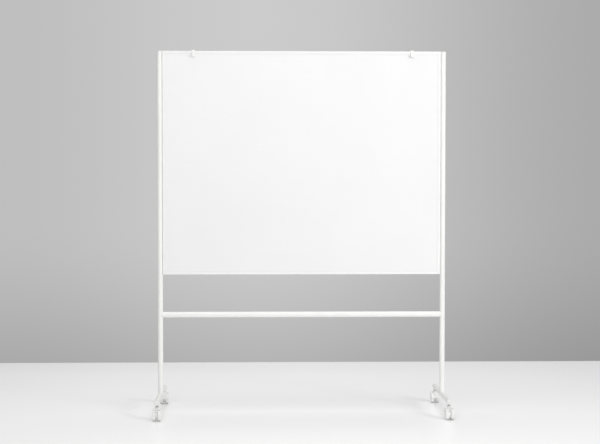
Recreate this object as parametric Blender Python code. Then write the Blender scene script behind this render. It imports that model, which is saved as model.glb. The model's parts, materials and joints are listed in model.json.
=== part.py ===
"""A rolling whiteboard: a fixed two-sided board between two uprights, on two feet with twin-wheel casters.

Metres, +Z up. The origin is on the floor, midway between the uprights. The front is at -Y.
"""

import math

import bmesh
import bpy
from mathutils import Matrix, Vector

# Clearances
GAP = 0.0003  # between pieces that touch on the real object
RUNNING = 0.0008  # between a piece that turns and what it turns past

# Board
BOARD_WIDTH = 1.507
BOARD_HEIGHT = 1.207
BOARD_BOTTOM = 0.750
BOARD_DEPTH = 0.020
PROFILE_LIP = 0.012
PROFILE_WALL = 0.0012
SHEET_THICKNESS = 0.0006

# Tubes
UPRIGHT_DIAMETER = 0.028
CROSSBAR_DIAMETER = 0.030
CROSSBAR_HEIGHT = 0.531
FOOT_DIAMETER = 0.028
FOOT_OVERHANG = 0.020  # beyond the stem, to the end of the cap
TUBE_WALL = 0.002
CAP_THICKNESS = 0.003
UPRIGHT_PLUG_LENGTH = 0.016
CAP_WALL = 0.0018
CAP_ROUNDING = 0.0012

# Screws through the uprights
BOARD_SCREW_DIAMETER = 0.005
BOARD_SCREW_INSET = 0.180  # from the board's top and bottom edges
BOARD_SCREW_GRIP = 0.016  # length inside the board
BAR_SCREW_DIAMETER = 0.006
BAR_SCREW_GRIP = 0.024  # length inside the crossbar
SCREW_HEAD_RATIO = 1.8  # head diameter over shank diameter
SCREW_SUNK = 0.0002  # head's rim below the tube's round surface
SCREW_RIM = 0.0003  # straight rim of the head before its cone
SCREW_SOCKET_RATIO = 0.55  # driver socket over shank diameter
SCREW_POINT = 0.0008  # bevel at the tip
SCREW_HOLE_SPARE = 0.002  # depth of a blind hole past its screw
INSERT_LENGTH = 0.030

# Pad hooks
HOOK_WIDTH = 0.016
HOOK_STRIP = 0.0028
HOOK_FRONT_DROP = 0.034
HOOK_REAR_DROP = 0.026
HOOK_CLEARANCE = 0.0006
HOOK_TOP_CLEARANCE = 0.0016
HOOK_BEND = 0.0036
LEFT_HOOK_FROM_CENTRE = 0.585
RIGHT_HOOK_FROM_CENTRE = 0.597
PEG_DIAMETER = 0.006
PEG_HEAD_DIAMETER = 0.0175
PEG_HEAD_THICKNESS = 0.004
PEG_REACH = 0.012
PEG_FLANGE = 0.0012

# Casters
CASTER_SPACING = 0.510
WHEEL_DIAMETER = 0.060
WHEEL_WIDTH = 0.0165
WHEEL_TREAD_ROUNDING = 0.0030
WHEEL_DISH = 0.0022
WHEEL_GAP = 0.012  # between the two wheels of a caster
CASTER_TRAIL = 0.020
AXLE_DIAMETER = 0.005
AXLE_COVER = 0.0040  # wheel material left over each end of the axle
FENDER_CLEARANCE = 0.0014
FENDER_WALL = 0.0030
FENDER_START = math.radians(-4)
FENDER_END = math.radians(112)
WEB_DIAMETER = 0.042
BOSS_DIAMETER = 0.020
BOSS_RISE = 0.0055  # above the top of the fender
STEM_DIAMETER = 0.010
STEM_ENGAGEMENT = 0.020  # inside the socket
STEM_TAIL_DIAMETER = 0.0064
STEM_TAIL_LENGTH = 0.030
COLLAR_DIAMETER = 0.0135
COLLAR_HEIGHT = 0.0095
COLLAR_FLANGE_DIAMETER = 0.0180
COLLAR_FLANGE_HEIGHT = 0.0018
SOCKET_WALL = 0.0022
PEDAL_PIVOT_RADIUS = 0.0155  # from the axle
PEDAL_PIVOT_ANGLE = math.radians(138)
PEDAL_ANGLE = math.radians(150)
PEDAL_TRAVEL = math.radians(14)
PEDAL_TONGUE = 0.0056
PEDAL_TONGUE_WIDTH = 0.006
PEDAL_WIDTH = 0.024
PEDAL_THICKNESS = 0.003
PEDAL_REACH = 0.012  # beyond the wheels
PEDAL_TRUNNION = 0.0034

ROUND = 24  # sides of a large round piece
SMALL_ROUND = 12  # sides of a small one
SHARP_ANGLE = math.radians(35)

# Worked out from the sizes above
BOARD_TOP = BOARD_BOTTOM + BOARD_HEIGHT
UPRIGHT_RADIUS = UPRIGHT_DIAMETER / 2
CROSSBAR_RADIUS = CROSSBAR_DIAMETER / 2
FOOT_RADIUS = FOOT_DIAMETER / 2
UPRIGHT_X = BOARD_WIDTH / 2 + GAP + UPRIGHT_RADIUS
STEM_Y = CASTER_SPACING / 2
FOOT_TUBE_END = STEM_Y + FOOT_OVERHANG - CAP_THICKNESS
WHEEL_RADIUS = WHEEL_DIAMETER / 2
AXLE = (-CASTER_TRAIL, WHEEL_RADIUS)  # (y, z) in a caster's own frame
WEB_THICKNESS = WHEEL_GAP - 2 * GAP
FENDER_INNER = WHEEL_RADIUS + FENDER_CLEARANCE
FENDER_OUTER = FENDER_INNER + FENDER_WALL
BOSS_TOP = WHEEL_RADIUS + FENDER_OUTER + BOSS_RISE
COLLAR_BOTTOM = BOSS_TOP + GAP
FOOT_UNDERSIDE = COLLAR_BOTTOM + COLLAR_HEIGHT + GAP
FOOT_HEIGHT = FOOT_UNDERSIDE + FOOT_RADIUS
STEM_BOTTOM = COLLAR_BOTTOM - STEM_TAIL_LENGTH
SOCKET_RADIUS = STEM_DIAMETER / 2 + GAP + SOCKET_WALL
FOOT_PLUG_LENGTH = FOOT_OVERHANG - CAP_THICKNESS - SOCKET_RADIUS - RUNNING
CHANNEL_DEPTH = BOARD_DEPTH - 2 * PROFILE_WALL
CORE_DEPTH = CHANNEL_DEPTH - 2 * SHEET_THICKNESS - 4 * GAP
STRAP_INNER = BOARD_DEPTH / 2 + HOOK_CLEARANCE
STRAP_OUTER = STRAP_INNER + HOOK_STRIP

WHITE_PAINT = (0.86, 0.86, 0.85, 1)
WHITE_PLASTIC = (0.84, 0.84, 0.83, 1)
WHITE_ENAMEL = (0.90, 0.90, 0.89, 1)
DARK_STEEL = (0.20, 0.20, 0.21, 1)
BOARD_CORE = (0.62, 0.55, 0.45, 1)


def clear_scene():
    for obj in list(bpy.data.objects):
        bpy.data.objects.remove(obj, do_unlink=True)


def material(name, colour, roughness, metallic=0.0):
    """One Principled material, made once for each name."""
    made = bpy.data.materials.get(name)
    if made:
        return made
    made = bpy.data.materials.new(name)
    made.use_nodes = True
    shader = made.node_tree.nodes["Principled BSDF"]
    shader.inputs["Base Color"].default_value = colour
    shader.inputs["Roughness"].default_value = roughness
    shader.inputs["Metallic"].default_value = metallic
    return made


def paint():
    return material("white_paint", WHITE_PAINT, 0.38)


def plastic():
    return material("white_plastic", WHITE_PLASTIC, 0.45)


def enamel():
    return material("white_enamel", WHITE_ENAMEL, 0.12)


def steel():
    return material("dark_steel", DARK_STEEL, 0.40, 0.9)


def honeycomb():
    return material("board_core", BOARD_CORE, 0.80)


def place(mesh, name, finish, location=(0, 0, 0), parent=None):
    """An object of this mesh, under the parent if there is one."""
    obj = bpy.data.objects.new(name, mesh)
    obj.location = location
    obj.parent = parent
    bpy.context.scene.collection.objects.link(obj)
    mesh.materials.append(finish)
    return obj


def pivot(name, location, turn=0.0, parent=None):
    """An empty on a joint's axis, turned about Z."""
    empty = bpy.data.objects.new(name, None)
    empty.location = location
    empty.rotation_euler = (0, 0, turn)
    empty.parent = parent
    bpy.context.scene.collection.objects.link(empty)
    return empty


def mesh_of(bm, name):
    """The finished mesh, with its faces pointing out and its round faces shaded smooth."""
    bmesh.ops.recalc_face_normals(bm, faces=bm.faces)
    mesh = bpy.data.meshes.new(name)
    bm.to_mesh(mesh)
    bm.free()
    mesh.shade_smooth()
    mesh.set_sharp_from_angle(angle=SHARP_ANGLE)
    return mesh


def turned(name, profile, sides=ROUND, axis="Z"):
    """A solid of revolution: the profile's (radius, height) points are spun about the axis.

    A profile that doesn't start on the axis is closed into a ring.
    """
    bm = bmesh.new()
    points = [bm.verts.new((radius, 0, height)) for radius, height in profile]
    edges = [bm.edges.new(pair) for pair in zip(points, points[1:])]
    if profile[0][0] > 0:
        edges.append(bm.edges.new((points[-1], points[0])))
    bmesh.ops.spin(
        bm,
        geom=points + edges,
        cent=(0, 0, 0),
        axis=(0, 0, 1),
        angle=2 * math.pi,
        steps=sides,
        use_merge=True,
    )
    bmesh.ops.remove_doubles(bm, verts=bm.verts, dist=1e-7)
    if axis == "X":
        bmesh.ops.transform(bm, matrix=Matrix.Rotation(math.pi / 2, 4, "Y"), verts=bm.verts)
    if axis == "Y":
        bmesh.ops.transform(bm, matrix=Matrix.Rotation(-math.pi / 2, 4, "X"), verts=bm.verts)
    return mesh_of(bm, name)


def extruded(name, outline, start, end, axis="X"):
    """A prism: the outline's points are (y, z) for axis X, (x, z) for axis Y and (x, y) for axis Z."""
    spot = {
        "X": lambda a, b: (start, a, b),
        "Y": lambda a, b: (a, start, b),
        "Z": lambda a, b: (a, b, start),
    }[axis]
    along = {"X": (1, 0, 0), "Y": (0, 1, 0), "Z": (0, 0, 1)}[axis]
    bm = bmesh.new()
    face = bm.faces.new([bm.verts.new(spot(a, b)) for a, b in outline])
    result = bmesh.ops.extrude_face_region(bm, geom=[face])
    moved = [v for v in result["geom"] if isinstance(v, bmesh.types.BMVert)]
    bmesh.ops.translate(bm, vec=Vector(along) * (end - start), verts=moved)
    return mesh_of(bm, name)


def arc(centre, radius, start, end, steps):
    """Points on an arc in a plane, both ends included."""
    return [
        (
            centre[0] + radius * math.cos(start + (end - start) * i / steps),
            centre[1] + radius * math.sin(start + (end - start) * i / steps),
        )
        for i in range(steps + 1)
    ]


def box(name, low, high):
    outline = [(low[0], low[1]), (high[0], low[1]), (high[0], high[1]), (low[0], high[1])]
    return extruded(name, outline, low[2], high[2], "Z")


def rod(name, radius, start, end, sides=SMALL_ROUND, axis="Z"):
    return turned(name, [(0, start), (radius, start), (radius, end), (0, end)], sides, axis)


def ring(name, outer, inner, start, end, sides=ROUND, axis="Z"):
    """A plain tube, open at both ends."""
    profile = [(outer, end), (outer, start), (inner, start), (inner, end)]
    return turned(name, profile, sides, axis)


def half_turned(mesh):
    """The mesh turned half round about Z."""
    mesh.transform(Matrix.Rotation(math.pi, 4, "Z"))
    return mesh


def combine(obj, mesh, location=(0, 0, 0), operation="DIFFERENCE"):
    """Cuts the mesh from the object, or joins it on. The helper stands in the object's own frame."""
    helper = bpy.data.objects.new(obj.name + ".helper", mesh)
    helper.parent = obj
    helper.location = location
    helper.hide_render = True
    helper.display_type = "WIRE"
    bpy.context.scene.collection.objects.link(helper)
    modifier = obj.modifiers.new(mesh.name, "BOOLEAN")
    modifier.operation = operation
    modifier.solver = "EXACT"
    modifier.object = helper
    return obj


def screw_head_radius(shank):
    return shank * SCREW_HEAD_RATIO / 2


def screw_face(shank):
    """Distance of a screw head's face from the upright's axis: its rim lies below the round surface."""
    return math.sqrt(UPRIGHT_RADIUS**2 - screw_head_radius(shank) ** 2) - SCREW_SUNK


def screw_places():
    """(name, height, shank diameter, length from the head's face) of the screws through an upright."""
    board_length = screw_face(BOARD_SCREW_DIAMETER) + UPRIGHT_RADIUS + GAP + BOARD_SCREW_GRIP
    bar_length = screw_face(BAR_SCREW_DIAMETER) + UPRIGHT_RADIUS + BAR_SCREW_GRIP
    return [
        ("upper_board_screw", BOARD_TOP - BOARD_SCREW_INSET, BOARD_SCREW_DIAMETER, board_length),
        ("lower_board_screw", BOARD_BOTTOM + BOARD_SCREW_INSET, BOARD_SCREW_DIAMETER, board_length),
        ("crossbar_screw", CROSSBAR_HEIGHT, BAR_SCREW_DIAMETER, bar_length),
    ]


def countersunk_screw(name, shank, length):
    """A flat-headed screw along +X, its head's face at x = 0, with a round driver socket in it."""
    head = screw_head_radius(shank)
    radius = shank / 2
    socket = shank * SCREW_SOCKET_RATIO / 2
    cone_end = SCREW_RIM + head - radius
    profile = [
        (0, socket),
        (socket, socket),
        (socket, 0),
        (head, 0),
        (head, SCREW_RIM),
        (radius, cone_end),
        (radius, length - SCREW_POINT),
        (radius - SCREW_POINT, length),
        (0, length),
    ]
    return turned(name, profile, SMALL_ROUND, "X")


def screw_hole(shank, length):
    """The clearance hole of a countersunk screw, cone included, starting outside the tube."""
    head = screw_head_radius(shank) + GAP
    radius = shank / 2 + GAP
    rim = SCREW_RIM + GAP
    profile = [
        (0, -UPRIGHT_RADIUS),
        (head, -UPRIGHT_RADIUS),
        (head, rim),
        (radius, rim + head - radius),
        (radius, length),
        (0, length),
    ]
    return turned("screw_hole", profile, SMALL_ROUND, "X")


def make_upright(side, name):
    """A tube from the foot to the board's top, saddle-cut over the foot and drilled for its screws."""
    bore = UPRIGHT_RADIUS - TUBE_WALL
    tube = ring(name, UPRIGHT_RADIUS, bore, FOOT_HEIGHT, BOARD_TOP - CAP_THICKNESS)
    upright = place(tube, name, paint(), (side * UPRIGHT_X, 0, 0))
    saddle = rod("saddle", FOOT_RADIUS + GAP, -FOOT_DIAMETER, FOOT_DIAMETER, ROUND, "Y")
    combine(upright, saddle, (0, 0, FOOT_HEIGHT))
    for _, height, shank, length in screw_places():
        hole = screw_hole(shank, length)
        place_at = (side * screw_face(shank), 0, height)
        combine(upright, hole if side < 0 else half_turned(hole), place_at)


def make_screws(side, label):
    """The two board screws and the crossbar screw of one upright."""
    for kind, height, shank, length in screw_places():
        name = f"{label}_{kind}"
        mesh = countersunk_screw(name, shank, length)
        place_at = (side * (UPRIGHT_X + screw_face(shank)), 0, height)
        place(mesh if side < 0 else half_turned(mesh), name, steel(), place_at)


def tube_cap(name, tube_radius, plug_length):
    """A cap with a hollow plug, pointing along +Z. The tube's end is at z = 0."""
    plug = tube_radius - TUBE_WALL - GAP
    rim = (tube_radius - CAP_ROUNDING, CAP_THICKNESS - CAP_ROUNDING)
    profile = [
        (0, CAP_THICKNESS),
        *arc(rim, CAP_ROUNDING, math.pi / 2, 0, 2),
        (tube_radius, GAP),
        (plug, GAP),
        (plug, -plug_length),
        (plug - CAP_WALL, -plug_length),
        (plug - CAP_WALL, 0),
        (0, 0),
    ]
    return turned(name, profile)


def make_upright_cap(side, name):
    mesh = tube_cap(name, UPRIGHT_RADIUS, UPRIGHT_PLUG_LENGTH)
    place(mesh, name, plastic(), (side * UPRIGHT_X, 0, BOARD_TOP - CAP_THICKNESS))


def make_foot(side, label):
    """The foot tube, drilled from below for its two caster sockets, and its end caps."""
    name = f"{label}_foot_tube"
    bore = FOOT_RADIUS - TUBE_WALL
    tube = ring(name, FOOT_RADIUS, bore, -FOOT_TUBE_END, FOOT_TUBE_END, axis="Y")
    foot = place(tube, name, paint(), (side * UPRIGHT_X, 0, FOOT_HEIGHT))
    for end, where in ((-1, "front"), (1, "rear")):
        drill = rod("drill", SOCKET_RADIUS + GAP, -FOOT_DIAMETER, 0)
        combine(foot, drill, (0, end * STEM_Y, 0))
        cap_name = f"{label}_{where}_foot_cap"
        cap = tube_cap(cap_name, FOOT_RADIUS, FOOT_PLUG_LENGTH)
        cap.transform(Matrix.Rotation(-end * math.pi / 2, 4, "X"))
        place(cap, cap_name, plastic(), (side * UPRIGHT_X, end * FOOT_TUBE_END, FOOT_HEIGHT))


def make_crossbar():
    """The bar between the uprights, its ends saddle-cut to them."""
    reach = UPRIGHT_X - UPRIGHT_RADIUS / 2
    tube = ring("crossbar", CROSSBAR_RADIUS, CROSSBAR_RADIUS - TUBE_WALL, -reach, reach, axis="X")
    bar = place(tube, "crossbar", paint(), (0, 0, CROSSBAR_HEIGHT))
    for side in (-1, 1):
        saddle = rod("saddle", UPRIGHT_RADIUS + GAP, -CROSSBAR_DIAMETER, CROSSBAR_DIAMETER, ROUND)
        combine(bar, saddle, (side * UPRIGHT_X, 0, 0))


def make_crossbar_insert(side, label):
    """A threaded plug just inside one end of the crossbar."""
    name = f"{label}_crossbar_insert"
    end = UPRIGHT_X - UPRIGHT_RADIUS - 2 * GAP
    insert = ring(
        name,
        CROSSBAR_RADIUS - TUBE_WALL - GAP,
        BAR_SCREW_DIAMETER / 2 + GAP,
        side * (end - INSERT_LENGTH),
        side * end,
        axis="X",
    )
    place(insert, name, steel(), (0, 0, CROSSBAR_HEIGHT))


def profile_section():
    """An edge profile's U section as (across the board, inwards from its outer edge)."""
    half = BOARD_DEPTH / 2
    inner = half - PROFILE_WALL
    return [
        (-half, 0),
        (half, 0),
        (half, PROFILE_LIP),
        (inner, PROFILE_LIP),
        (inner, PROFILE_WALL),
        (-inner, PROFILE_WALL),
        (-inner, PROFILE_LIP),
        (-half, PROFILE_LIP),
    ]


def make_side_profile(side, name):
    """A U section between the outer walls of the top and the bottom profile."""
    edge = side * BOARD_WIDTH / 2
    outline = [(edge - side * inwards, across) for across, inwards in profile_section()]
    low = BOARD_BOTTOM + PROFILE_WALL + GAP
    high = BOARD_TOP - PROFILE_WALL - GAP
    profile = place(extruded(name, outline, low, high, "Z"), name, paint())
    for _, height, shank, _ in screw_places()[:2]:
        drill = rod("drill", shank / 2 + GAP, -PROFILE_LIP, PROFILE_LIP, axis="X")
        combine(profile, drill, (edge, 0, height))


def make_level_profile(name, edge, up):
    """The top or the bottom profile: its outer wall runs the whole width, its lips stop at the sides'."""
    outline = [(across, edge + up * inwards) for across, inwards in profile_section()]
    half = BOARD_WIDTH / 2
    profile = place(extruded(name, outline, -half, half), name, paint())
    depth = sorted((edge + up * PROFILE_WALL, edge + up * 2 * PROFILE_LIP))
    for side in (-1, 1):
        reach = sorted((side * (half - PROFILE_LIP - GAP), side * (half + PROFILE_LIP)))
        low = (reach[0], -BOARD_DEPTH, depth[0])
        high = (reach[1], BOARD_DEPTH, depth[1])
        combine(profile, box("notch", low, high))


def make_board():
    """The core with its screw holes, and the two writing sheets, all inside the edge profiles."""
    half = BOARD_WIDTH / 2 - PROFILE_WALL - GAP
    low = BOARD_BOTTOM + PROFILE_WALL + GAP
    high = BOARD_TOP - PROFILE_WALL - GAP
    core_face = CORE_DEPTH / 2
    mesh = box("board_core", (-half, -core_face, low), (half, core_face, high))
    core = place(mesh, "board_core", honeycomb())
    for side in (-1, 1):
        for _, height, shank, _ in screw_places()[:2]:
            reach = BOARD_SCREW_GRIP + SCREW_HOLE_SPARE
            drill = rod("drill", shank / 2 + GAP, -reach, reach, axis="X")
            combine(core, drill, (side * BOARD_WIDTH / 2, 0, height))
    near = core_face + GAP
    far = near + SHEET_THICKNESS
    front = box("front_writing_sheet", (-half, -far, low), (half, -near, high))
    rear = box("rear_writing_sheet", (-half, near, low), (half, far, high))
    place(front, "front_writing_sheet", enamel())
    place(rear, "rear_writing_sheet", enamel())


def hook_outline():
    """The strap's side view as (y, z): down the board's front, over its top and down its back."""
    under = HOOK_TOP_CLEARANCE
    over = under + HOOK_STRIP
    bend = HOOK_BEND
    corner = HOOK_BEND - HOOK_STRIP
    return [
        (-STRAP_OUTER, -HOOK_FRONT_DROP),
        *arc((-STRAP_OUTER + bend, over - bend), bend, math.pi, math.pi / 2, 5),
        *arc((STRAP_OUTER - bend, over - bend), bend, math.pi / 2, 0, 5),
        (STRAP_OUTER, -HOOK_REAR_DROP),
        (STRAP_INNER, -HOOK_REAR_DROP),
        *arc((STRAP_INNER - corner, under - corner), corner, 0, math.pi / 2, 2),
        *arc((-STRAP_INNER + corner, under - corner), corner, math.pi / 2, math.pi, 2),
        (-STRAP_INNER, -HOOK_FRONT_DROP),
    ]


def hook_trim(level):
    """What is cut from below the strap's front end to leave it half round about the peg."""
    half = HOOK_WIDTH / 2
    outside = half + HOOK_CLEARANCE
    below = -HOOK_FRONT_DROP - HOOK_CLEARANCE
    outline = [
        (outside, level),
        *arc((0, level), half, 0, -math.pi, 10),
        (-outside, level),
        (-outside, below),
        (outside, below),
    ]
    return extruded("trim", outline, -BOARD_DEPTH, 0, "Y")


def hook_peg(name):
    """A turned peg along -Y: y = 0 is the strap's front face, and the head is domed."""
    radius = PEG_DIAMETER / 2
    head = PEG_HEAD_DIAMETER / 2
    flange = radius + PEG_FLANGE
    dome = PEG_HEAD_THICKNESS
    profile = [
        (0, -HOOK_STRIP),
        (radius, -HOOK_STRIP),
        (radius, GAP),
        (flange, GAP),
        (flange, GAP + PEG_FLANGE),
        (radius, GAP + PEG_FLANGE),
        (radius, PEG_REACH),
        (head - dome / 6, PEG_REACH),
        (head, PEG_REACH + dome / 6),
        (head, PEG_REACH + dome / 2),
        *arc((head - dome / 2, PEG_REACH + dome / 2), dome / 2, 0, math.pi / 2, 3)[1:],
        (0, PEG_REACH + dome),
    ]
    return half_turned(turned(name, profile, SMALL_ROUND, "Y"))


def make_pad_hook(side, label):
    """A strap that slides along the board's top edge, and the peg riveted through its front."""
    from_centre = LEFT_HOOK_FROM_CENTRE if side < 0 else RIGHT_HOOK_FROM_CENTRE
    slide = pivot(f"{label}_hook_slide", (side * from_centre, 0, BOARD_TOP))
    half = HOOK_WIDTH / 2
    level = half - HOOK_FRONT_DROP
    name = f"{label}_pad_hook"
    strap = place(extruded(name, hook_outline(), -half, half), name, paint(), parent=slide)
    hole = rod("rivet_hole", PEG_DIAMETER / 2 + GAP, -2 * HOOK_STRIP, 2 * HOOK_STRIP, axis="Y")
    combine(strap, hole, (0, -STRAP_OUTER, level))
    combine(strap, hook_trim(level))
    peg_name = f"{label}_hook_peg"
    place(hook_peg(peg_name), peg_name, paint(), (0, -STRAP_OUTER, level), slide)


def stem_mesh(name):
    """Tail in the housing, flange and collar under the foot, and the threaded end in the socket."""
    tail = STEM_TAIL_DIAMETER / 2
    flange = COLLAR_FLANGE_DIAMETER / 2
    collar = COLLAR_DIAMETER / 2
    thread = STEM_DIAMETER / 2
    flange_top = COLLAR_BOTTOM + COLLAR_FLANGE_HEIGHT
    collar_top = COLLAR_BOTTOM + COLLAR_HEIGHT
    profile = [
        (0, STEM_BOTTOM),
        (tail, STEM_BOTTOM),
        (tail, COLLAR_BOTTOM),
        (flange, COLLAR_BOTTOM),
        (flange, flange_top),
        (collar, flange_top),
        (collar, collar_top),
        (thread, collar_top),
        (thread, collar_top + STEM_ENGAGEMENT),
        (0, collar_top + STEM_ENGAGEMENT),
    ]
    return turned(name, profile, SMALL_ROUND)


def socket_mesh(name):
    """A threaded sleeve from the foot tube's underside to just below the inside of its upper wall."""
    ceiling = math.sqrt((FOOT_RADIUS - TUBE_WALL - GAP) ** 2 - SOCKET_RADIUS**2)
    bore = STEM_DIAMETER / 2 + GAP
    return ring(name, SOCKET_RADIUS, bore, FOOT_UNDERSIDE, FOOT_HEIGHT + ceiling - GAP, SMALL_ROUND)


def web_outline():
    """The housing between the wheels as (y, z): a disc round the axle, and a sector up to the fender."""
    joined = FENDER_INNER + FENDER_WALL / 3
    margin = math.radians(3)
    return [
        *arc(AXLE, joined, FENDER_START + margin, FENDER_END - margin, 6),
        *arc(AXLE, WEB_DIAMETER / 2, FENDER_END + margin, 2 * math.pi + FENDER_START - margin, 10),
    ]


def fender_outline():
    """The fender's side view: an arc of even thickness round the wheels' upper stem side."""
    return [
        *arc(AXLE, FENDER_OUTER, FENDER_START, FENDER_END, 10),
        *arc(AXLE, FENDER_INNER, FENDER_END, FENDER_START, 10),
    ]


def pedal_pivot():
    """The pedal's axis in a caster's frame, as (y, z)."""
    return (
        AXLE[0] + PEDAL_PIVOT_RADIUS * math.cos(PEDAL_PIVOT_ANGLE),
        AXLE[1] + PEDAL_PIVOT_RADIUS * math.sin(PEDAL_PIVOT_ANGLE),
    )


def from_pedal_pivot(angle, along, across):
    """A point at a distance along a direction from the pedal's axis, and a distance across it."""
    y, z = pedal_pivot()
    return (
        y + along * math.cos(angle) - across * math.sin(angle),
        z + along * math.sin(angle) + across * math.cos(angle),
    )


def pedal_slot():
    """What the pedal's tongue sweeps from released to pressed, with clearance, as a prism."""
    half = PEDAL_TONGUE_WIDTH / 2 + RUNNING
    quarter = math.pi / 2
    pressed = PEDAL_ANGLE + PEDAL_TRAVEL
    outline = [
        from_pedal_pivot(PEDAL_ANGLE, WHEEL_RADIUS, -half),
        from_pedal_pivot(pressed, WHEEL_RADIUS, half),
        *arc(pedal_pivot(), half, pressed + quarter, 2 * math.pi + PEDAL_ANGLE - quarter, 8),
    ]
    reach = PEDAL_TONGUE / 2 + GAP
    return extruded("pedal_slot", outline, -reach, reach)


def make_housing(name, swivel):
    """Boss, fender and web in one piece, bored for stem and axle and slotted for the pedal."""
    half = WHEEL_GAP / 2 + WHEEL_WIDTH
    boss = rod(name, BOSS_DIAMETER / 2, WHEEL_RADIUS, BOSS_TOP, ROUND)
    housing = place(boss, name, plastic(), parent=swivel)
    wheel_space = rod("wheel_space", FENDER_INNER + GAP, -half, half, ROUND, "X")
    axle_at = (0, AXLE[0], AXLE[1])
    combine(housing, wheel_space, axle_at)
    combine(housing, extruded("fender", fender_outline(), -half, half), operation="UNION")
    web_half = WEB_THICKNESS / 2
    combine(housing, extruded("web", web_outline(), -web_half, web_half), operation="UNION")
    stem_bore = STEM_TAIL_DIAMETER / 2 + GAP
    combine(housing, rod("stem_bore", stem_bore, STEM_BOTTOM - GAP, 2 * BOSS_TOP))
    axle_bore = AXLE_DIAMETER / 2 + GAP
    combine(housing, rod("axle_bore", axle_bore, -half, half, axis="X"), axle_at)
    combine(housing, pedal_slot())
    trunnion_hole = PEDAL_TRUNNION / 2 + GAP
    hole = rod("trunnion_hole", trunnion_hole, -WHEEL_GAP, WHEEL_GAP, axis="X")
    combine(housing, hole, (0, *pedal_pivot()))


def make_pedal(name, swivel):
    """A tongue between the web's cheeks, two trunnions in them, and a paddle outside the wheels."""
    y, z = pedal_pivot()
    tilt = pivot(name + "_axis", (0, y, z), parent=swivel)
    half = PEDAL_TONGUE_WIDTH / 2
    inner = WHEEL_RADIUS + 2 * RUNNING - PEDAL_PIVOT_RADIUS * math.cos(PEDAL_ANGLE - PEDAL_PIVOT_ANGLE)
    paddle = inner + PEDAL_REACH
    across = PEDAL_THICKNESS / 2
    quarter = math.pi / 2

    def local(angle, along, side):
        point = from_pedal_pivot(angle, along, side)
        return (point[0] - y, point[1] - z)

    tongue = [
        local(PEDAL_ANGLE, inner + across, -across),
        local(PEDAL_ANGLE, inner + across, across),
        *arc((0, 0), half, PEDAL_ANGLE + quarter, 2 * math.pi + PEDAL_ANGLE - quarter, 8),
    ]
    plate = [
        local(PEDAL_ANGLE, inner, -across),
        local(PEDAL_ANGLE, paddle - across, -across),
        local(PEDAL_ANGLE, paddle, 0),
        local(PEDAL_ANGLE, paddle - across, across),
        local(PEDAL_ANGLE, inner, across),
    ]
    reach = PEDAL_TONGUE / 2
    pedal = place(extruded(name, tongue, -reach, reach), name, plastic(), parent=tilt)
    trunnion = WEB_THICKNESS / 2 - GAP
    pins = rod("trunnions", PEDAL_TRUNNION / 2, -trunnion, trunnion, axis="X")
    combine(pedal, pins, operation="UNION")
    wide = extruded("paddle", plate, -PEDAL_WIDTH / 2, PEDAL_WIDTH / 2)
    combine(pedal, wide, operation="UNION")


def wheel_mesh(name):
    """A wheel along +X: x = 0 is its inner side, and its outer side is closed over the axle."""
    bore = AXLE_DIAMETER / 2 + GAP
    width = WHEEL_WIDTH
    rounding = WHEEL_TREAD_ROUNDING
    shoulder = WHEEL_RADIUS - rounding
    rim = WHEEL_RADIUS - 2 * rounding
    profile = [
        (0, width - AXLE_COVER),
        (bore, width - AXLE_COVER),
        (bore, 0),
        *arc((shoulder, rounding), rounding, -math.pi / 2, 0, 2),
        *arc((shoulder, width - rounding), rounding, 0, math.pi / 2, 2),
        (rim, width),
        (rim - WHEEL_DISH, width - WHEEL_DISH),
        (0, width - WHEEL_DISH),
    ]
    return turned(name, profile, ROUND, "X")


def make_caster(side, end):
    """One caster: it trails away from the upright, so the rear ones are turned half round."""
    label = ("front" if end < 0 else "rear") + ("_left" if side < 0 else "_right")
    stem_at = (side * UPRIGHT_X, end * STEM_Y, 0)
    socket = f"{label}_caster_socket"
    place(socket_mesh(socket), socket, steel(), stem_at)
    stem = f"{label}_caster_stem"
    place(stem_mesh(stem), stem, steel(), stem_at)
    swivel = pivot(f"{label}_caster_swivel", stem_at, 0 if end < 0 else math.pi)
    make_housing(f"{label}_caster_housing", swivel)
    make_pedal(f"{label}_brake_pedal", swivel)
    axle = f"{label}_caster_axle"
    half = WHEEL_GAP / 2 + WHEEL_WIDTH - AXLE_COVER - GAP
    axle_at = (0, AXLE[0], AXLE[1])
    rod_mesh = rod(axle, AXLE_DIAMETER / 2, -half, half, axis="X")
    place(rod_mesh, axle, steel(), axle_at, swivel)
    for way in (-1, 1):
        outwards = way * -end * side > 0
        name = f"{label}_{'outer' if outwards else 'inner'}_wheel"
        mesh = wheel_mesh(name)
        wheel_at = (way * WHEEL_GAP / 2, AXLE[0], AXLE[1])
        place(mesh if way > 0 else half_turned(mesh), name, plastic(), wheel_at, swivel)


def main():
    clear_scene()
    for side, label in ((-1, "left"), (1, "right")):
        make_upright(side, f"{label}_upright")
        make_upright_cap(side, f"{label}_upright_cap")
        make_screws(side, label)
        make_foot(side, label)
        make_crossbar_insert(side, label)
        make_side_profile(side, f"{label}_edge_profile")
        make_pad_hook(side, label)
        for end in (-1, 1):
            make_caster(side, end)
    make_crossbar()
    make_board()
    make_level_profile("top_edge_profile", BOARD_TOP, -1)
    make_level_profile("bottom_edge_profile", BOARD_BOTTOM, 1)


main()
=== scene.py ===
"""The visible surfaces, finishes and studio for a rolling whiteboard, built around its fixed frame.

Metres, +Z up, the front at -Y. Each finished piece lies where its frame node lies, and rides on that
node's body.
"""

import json
import math

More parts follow.
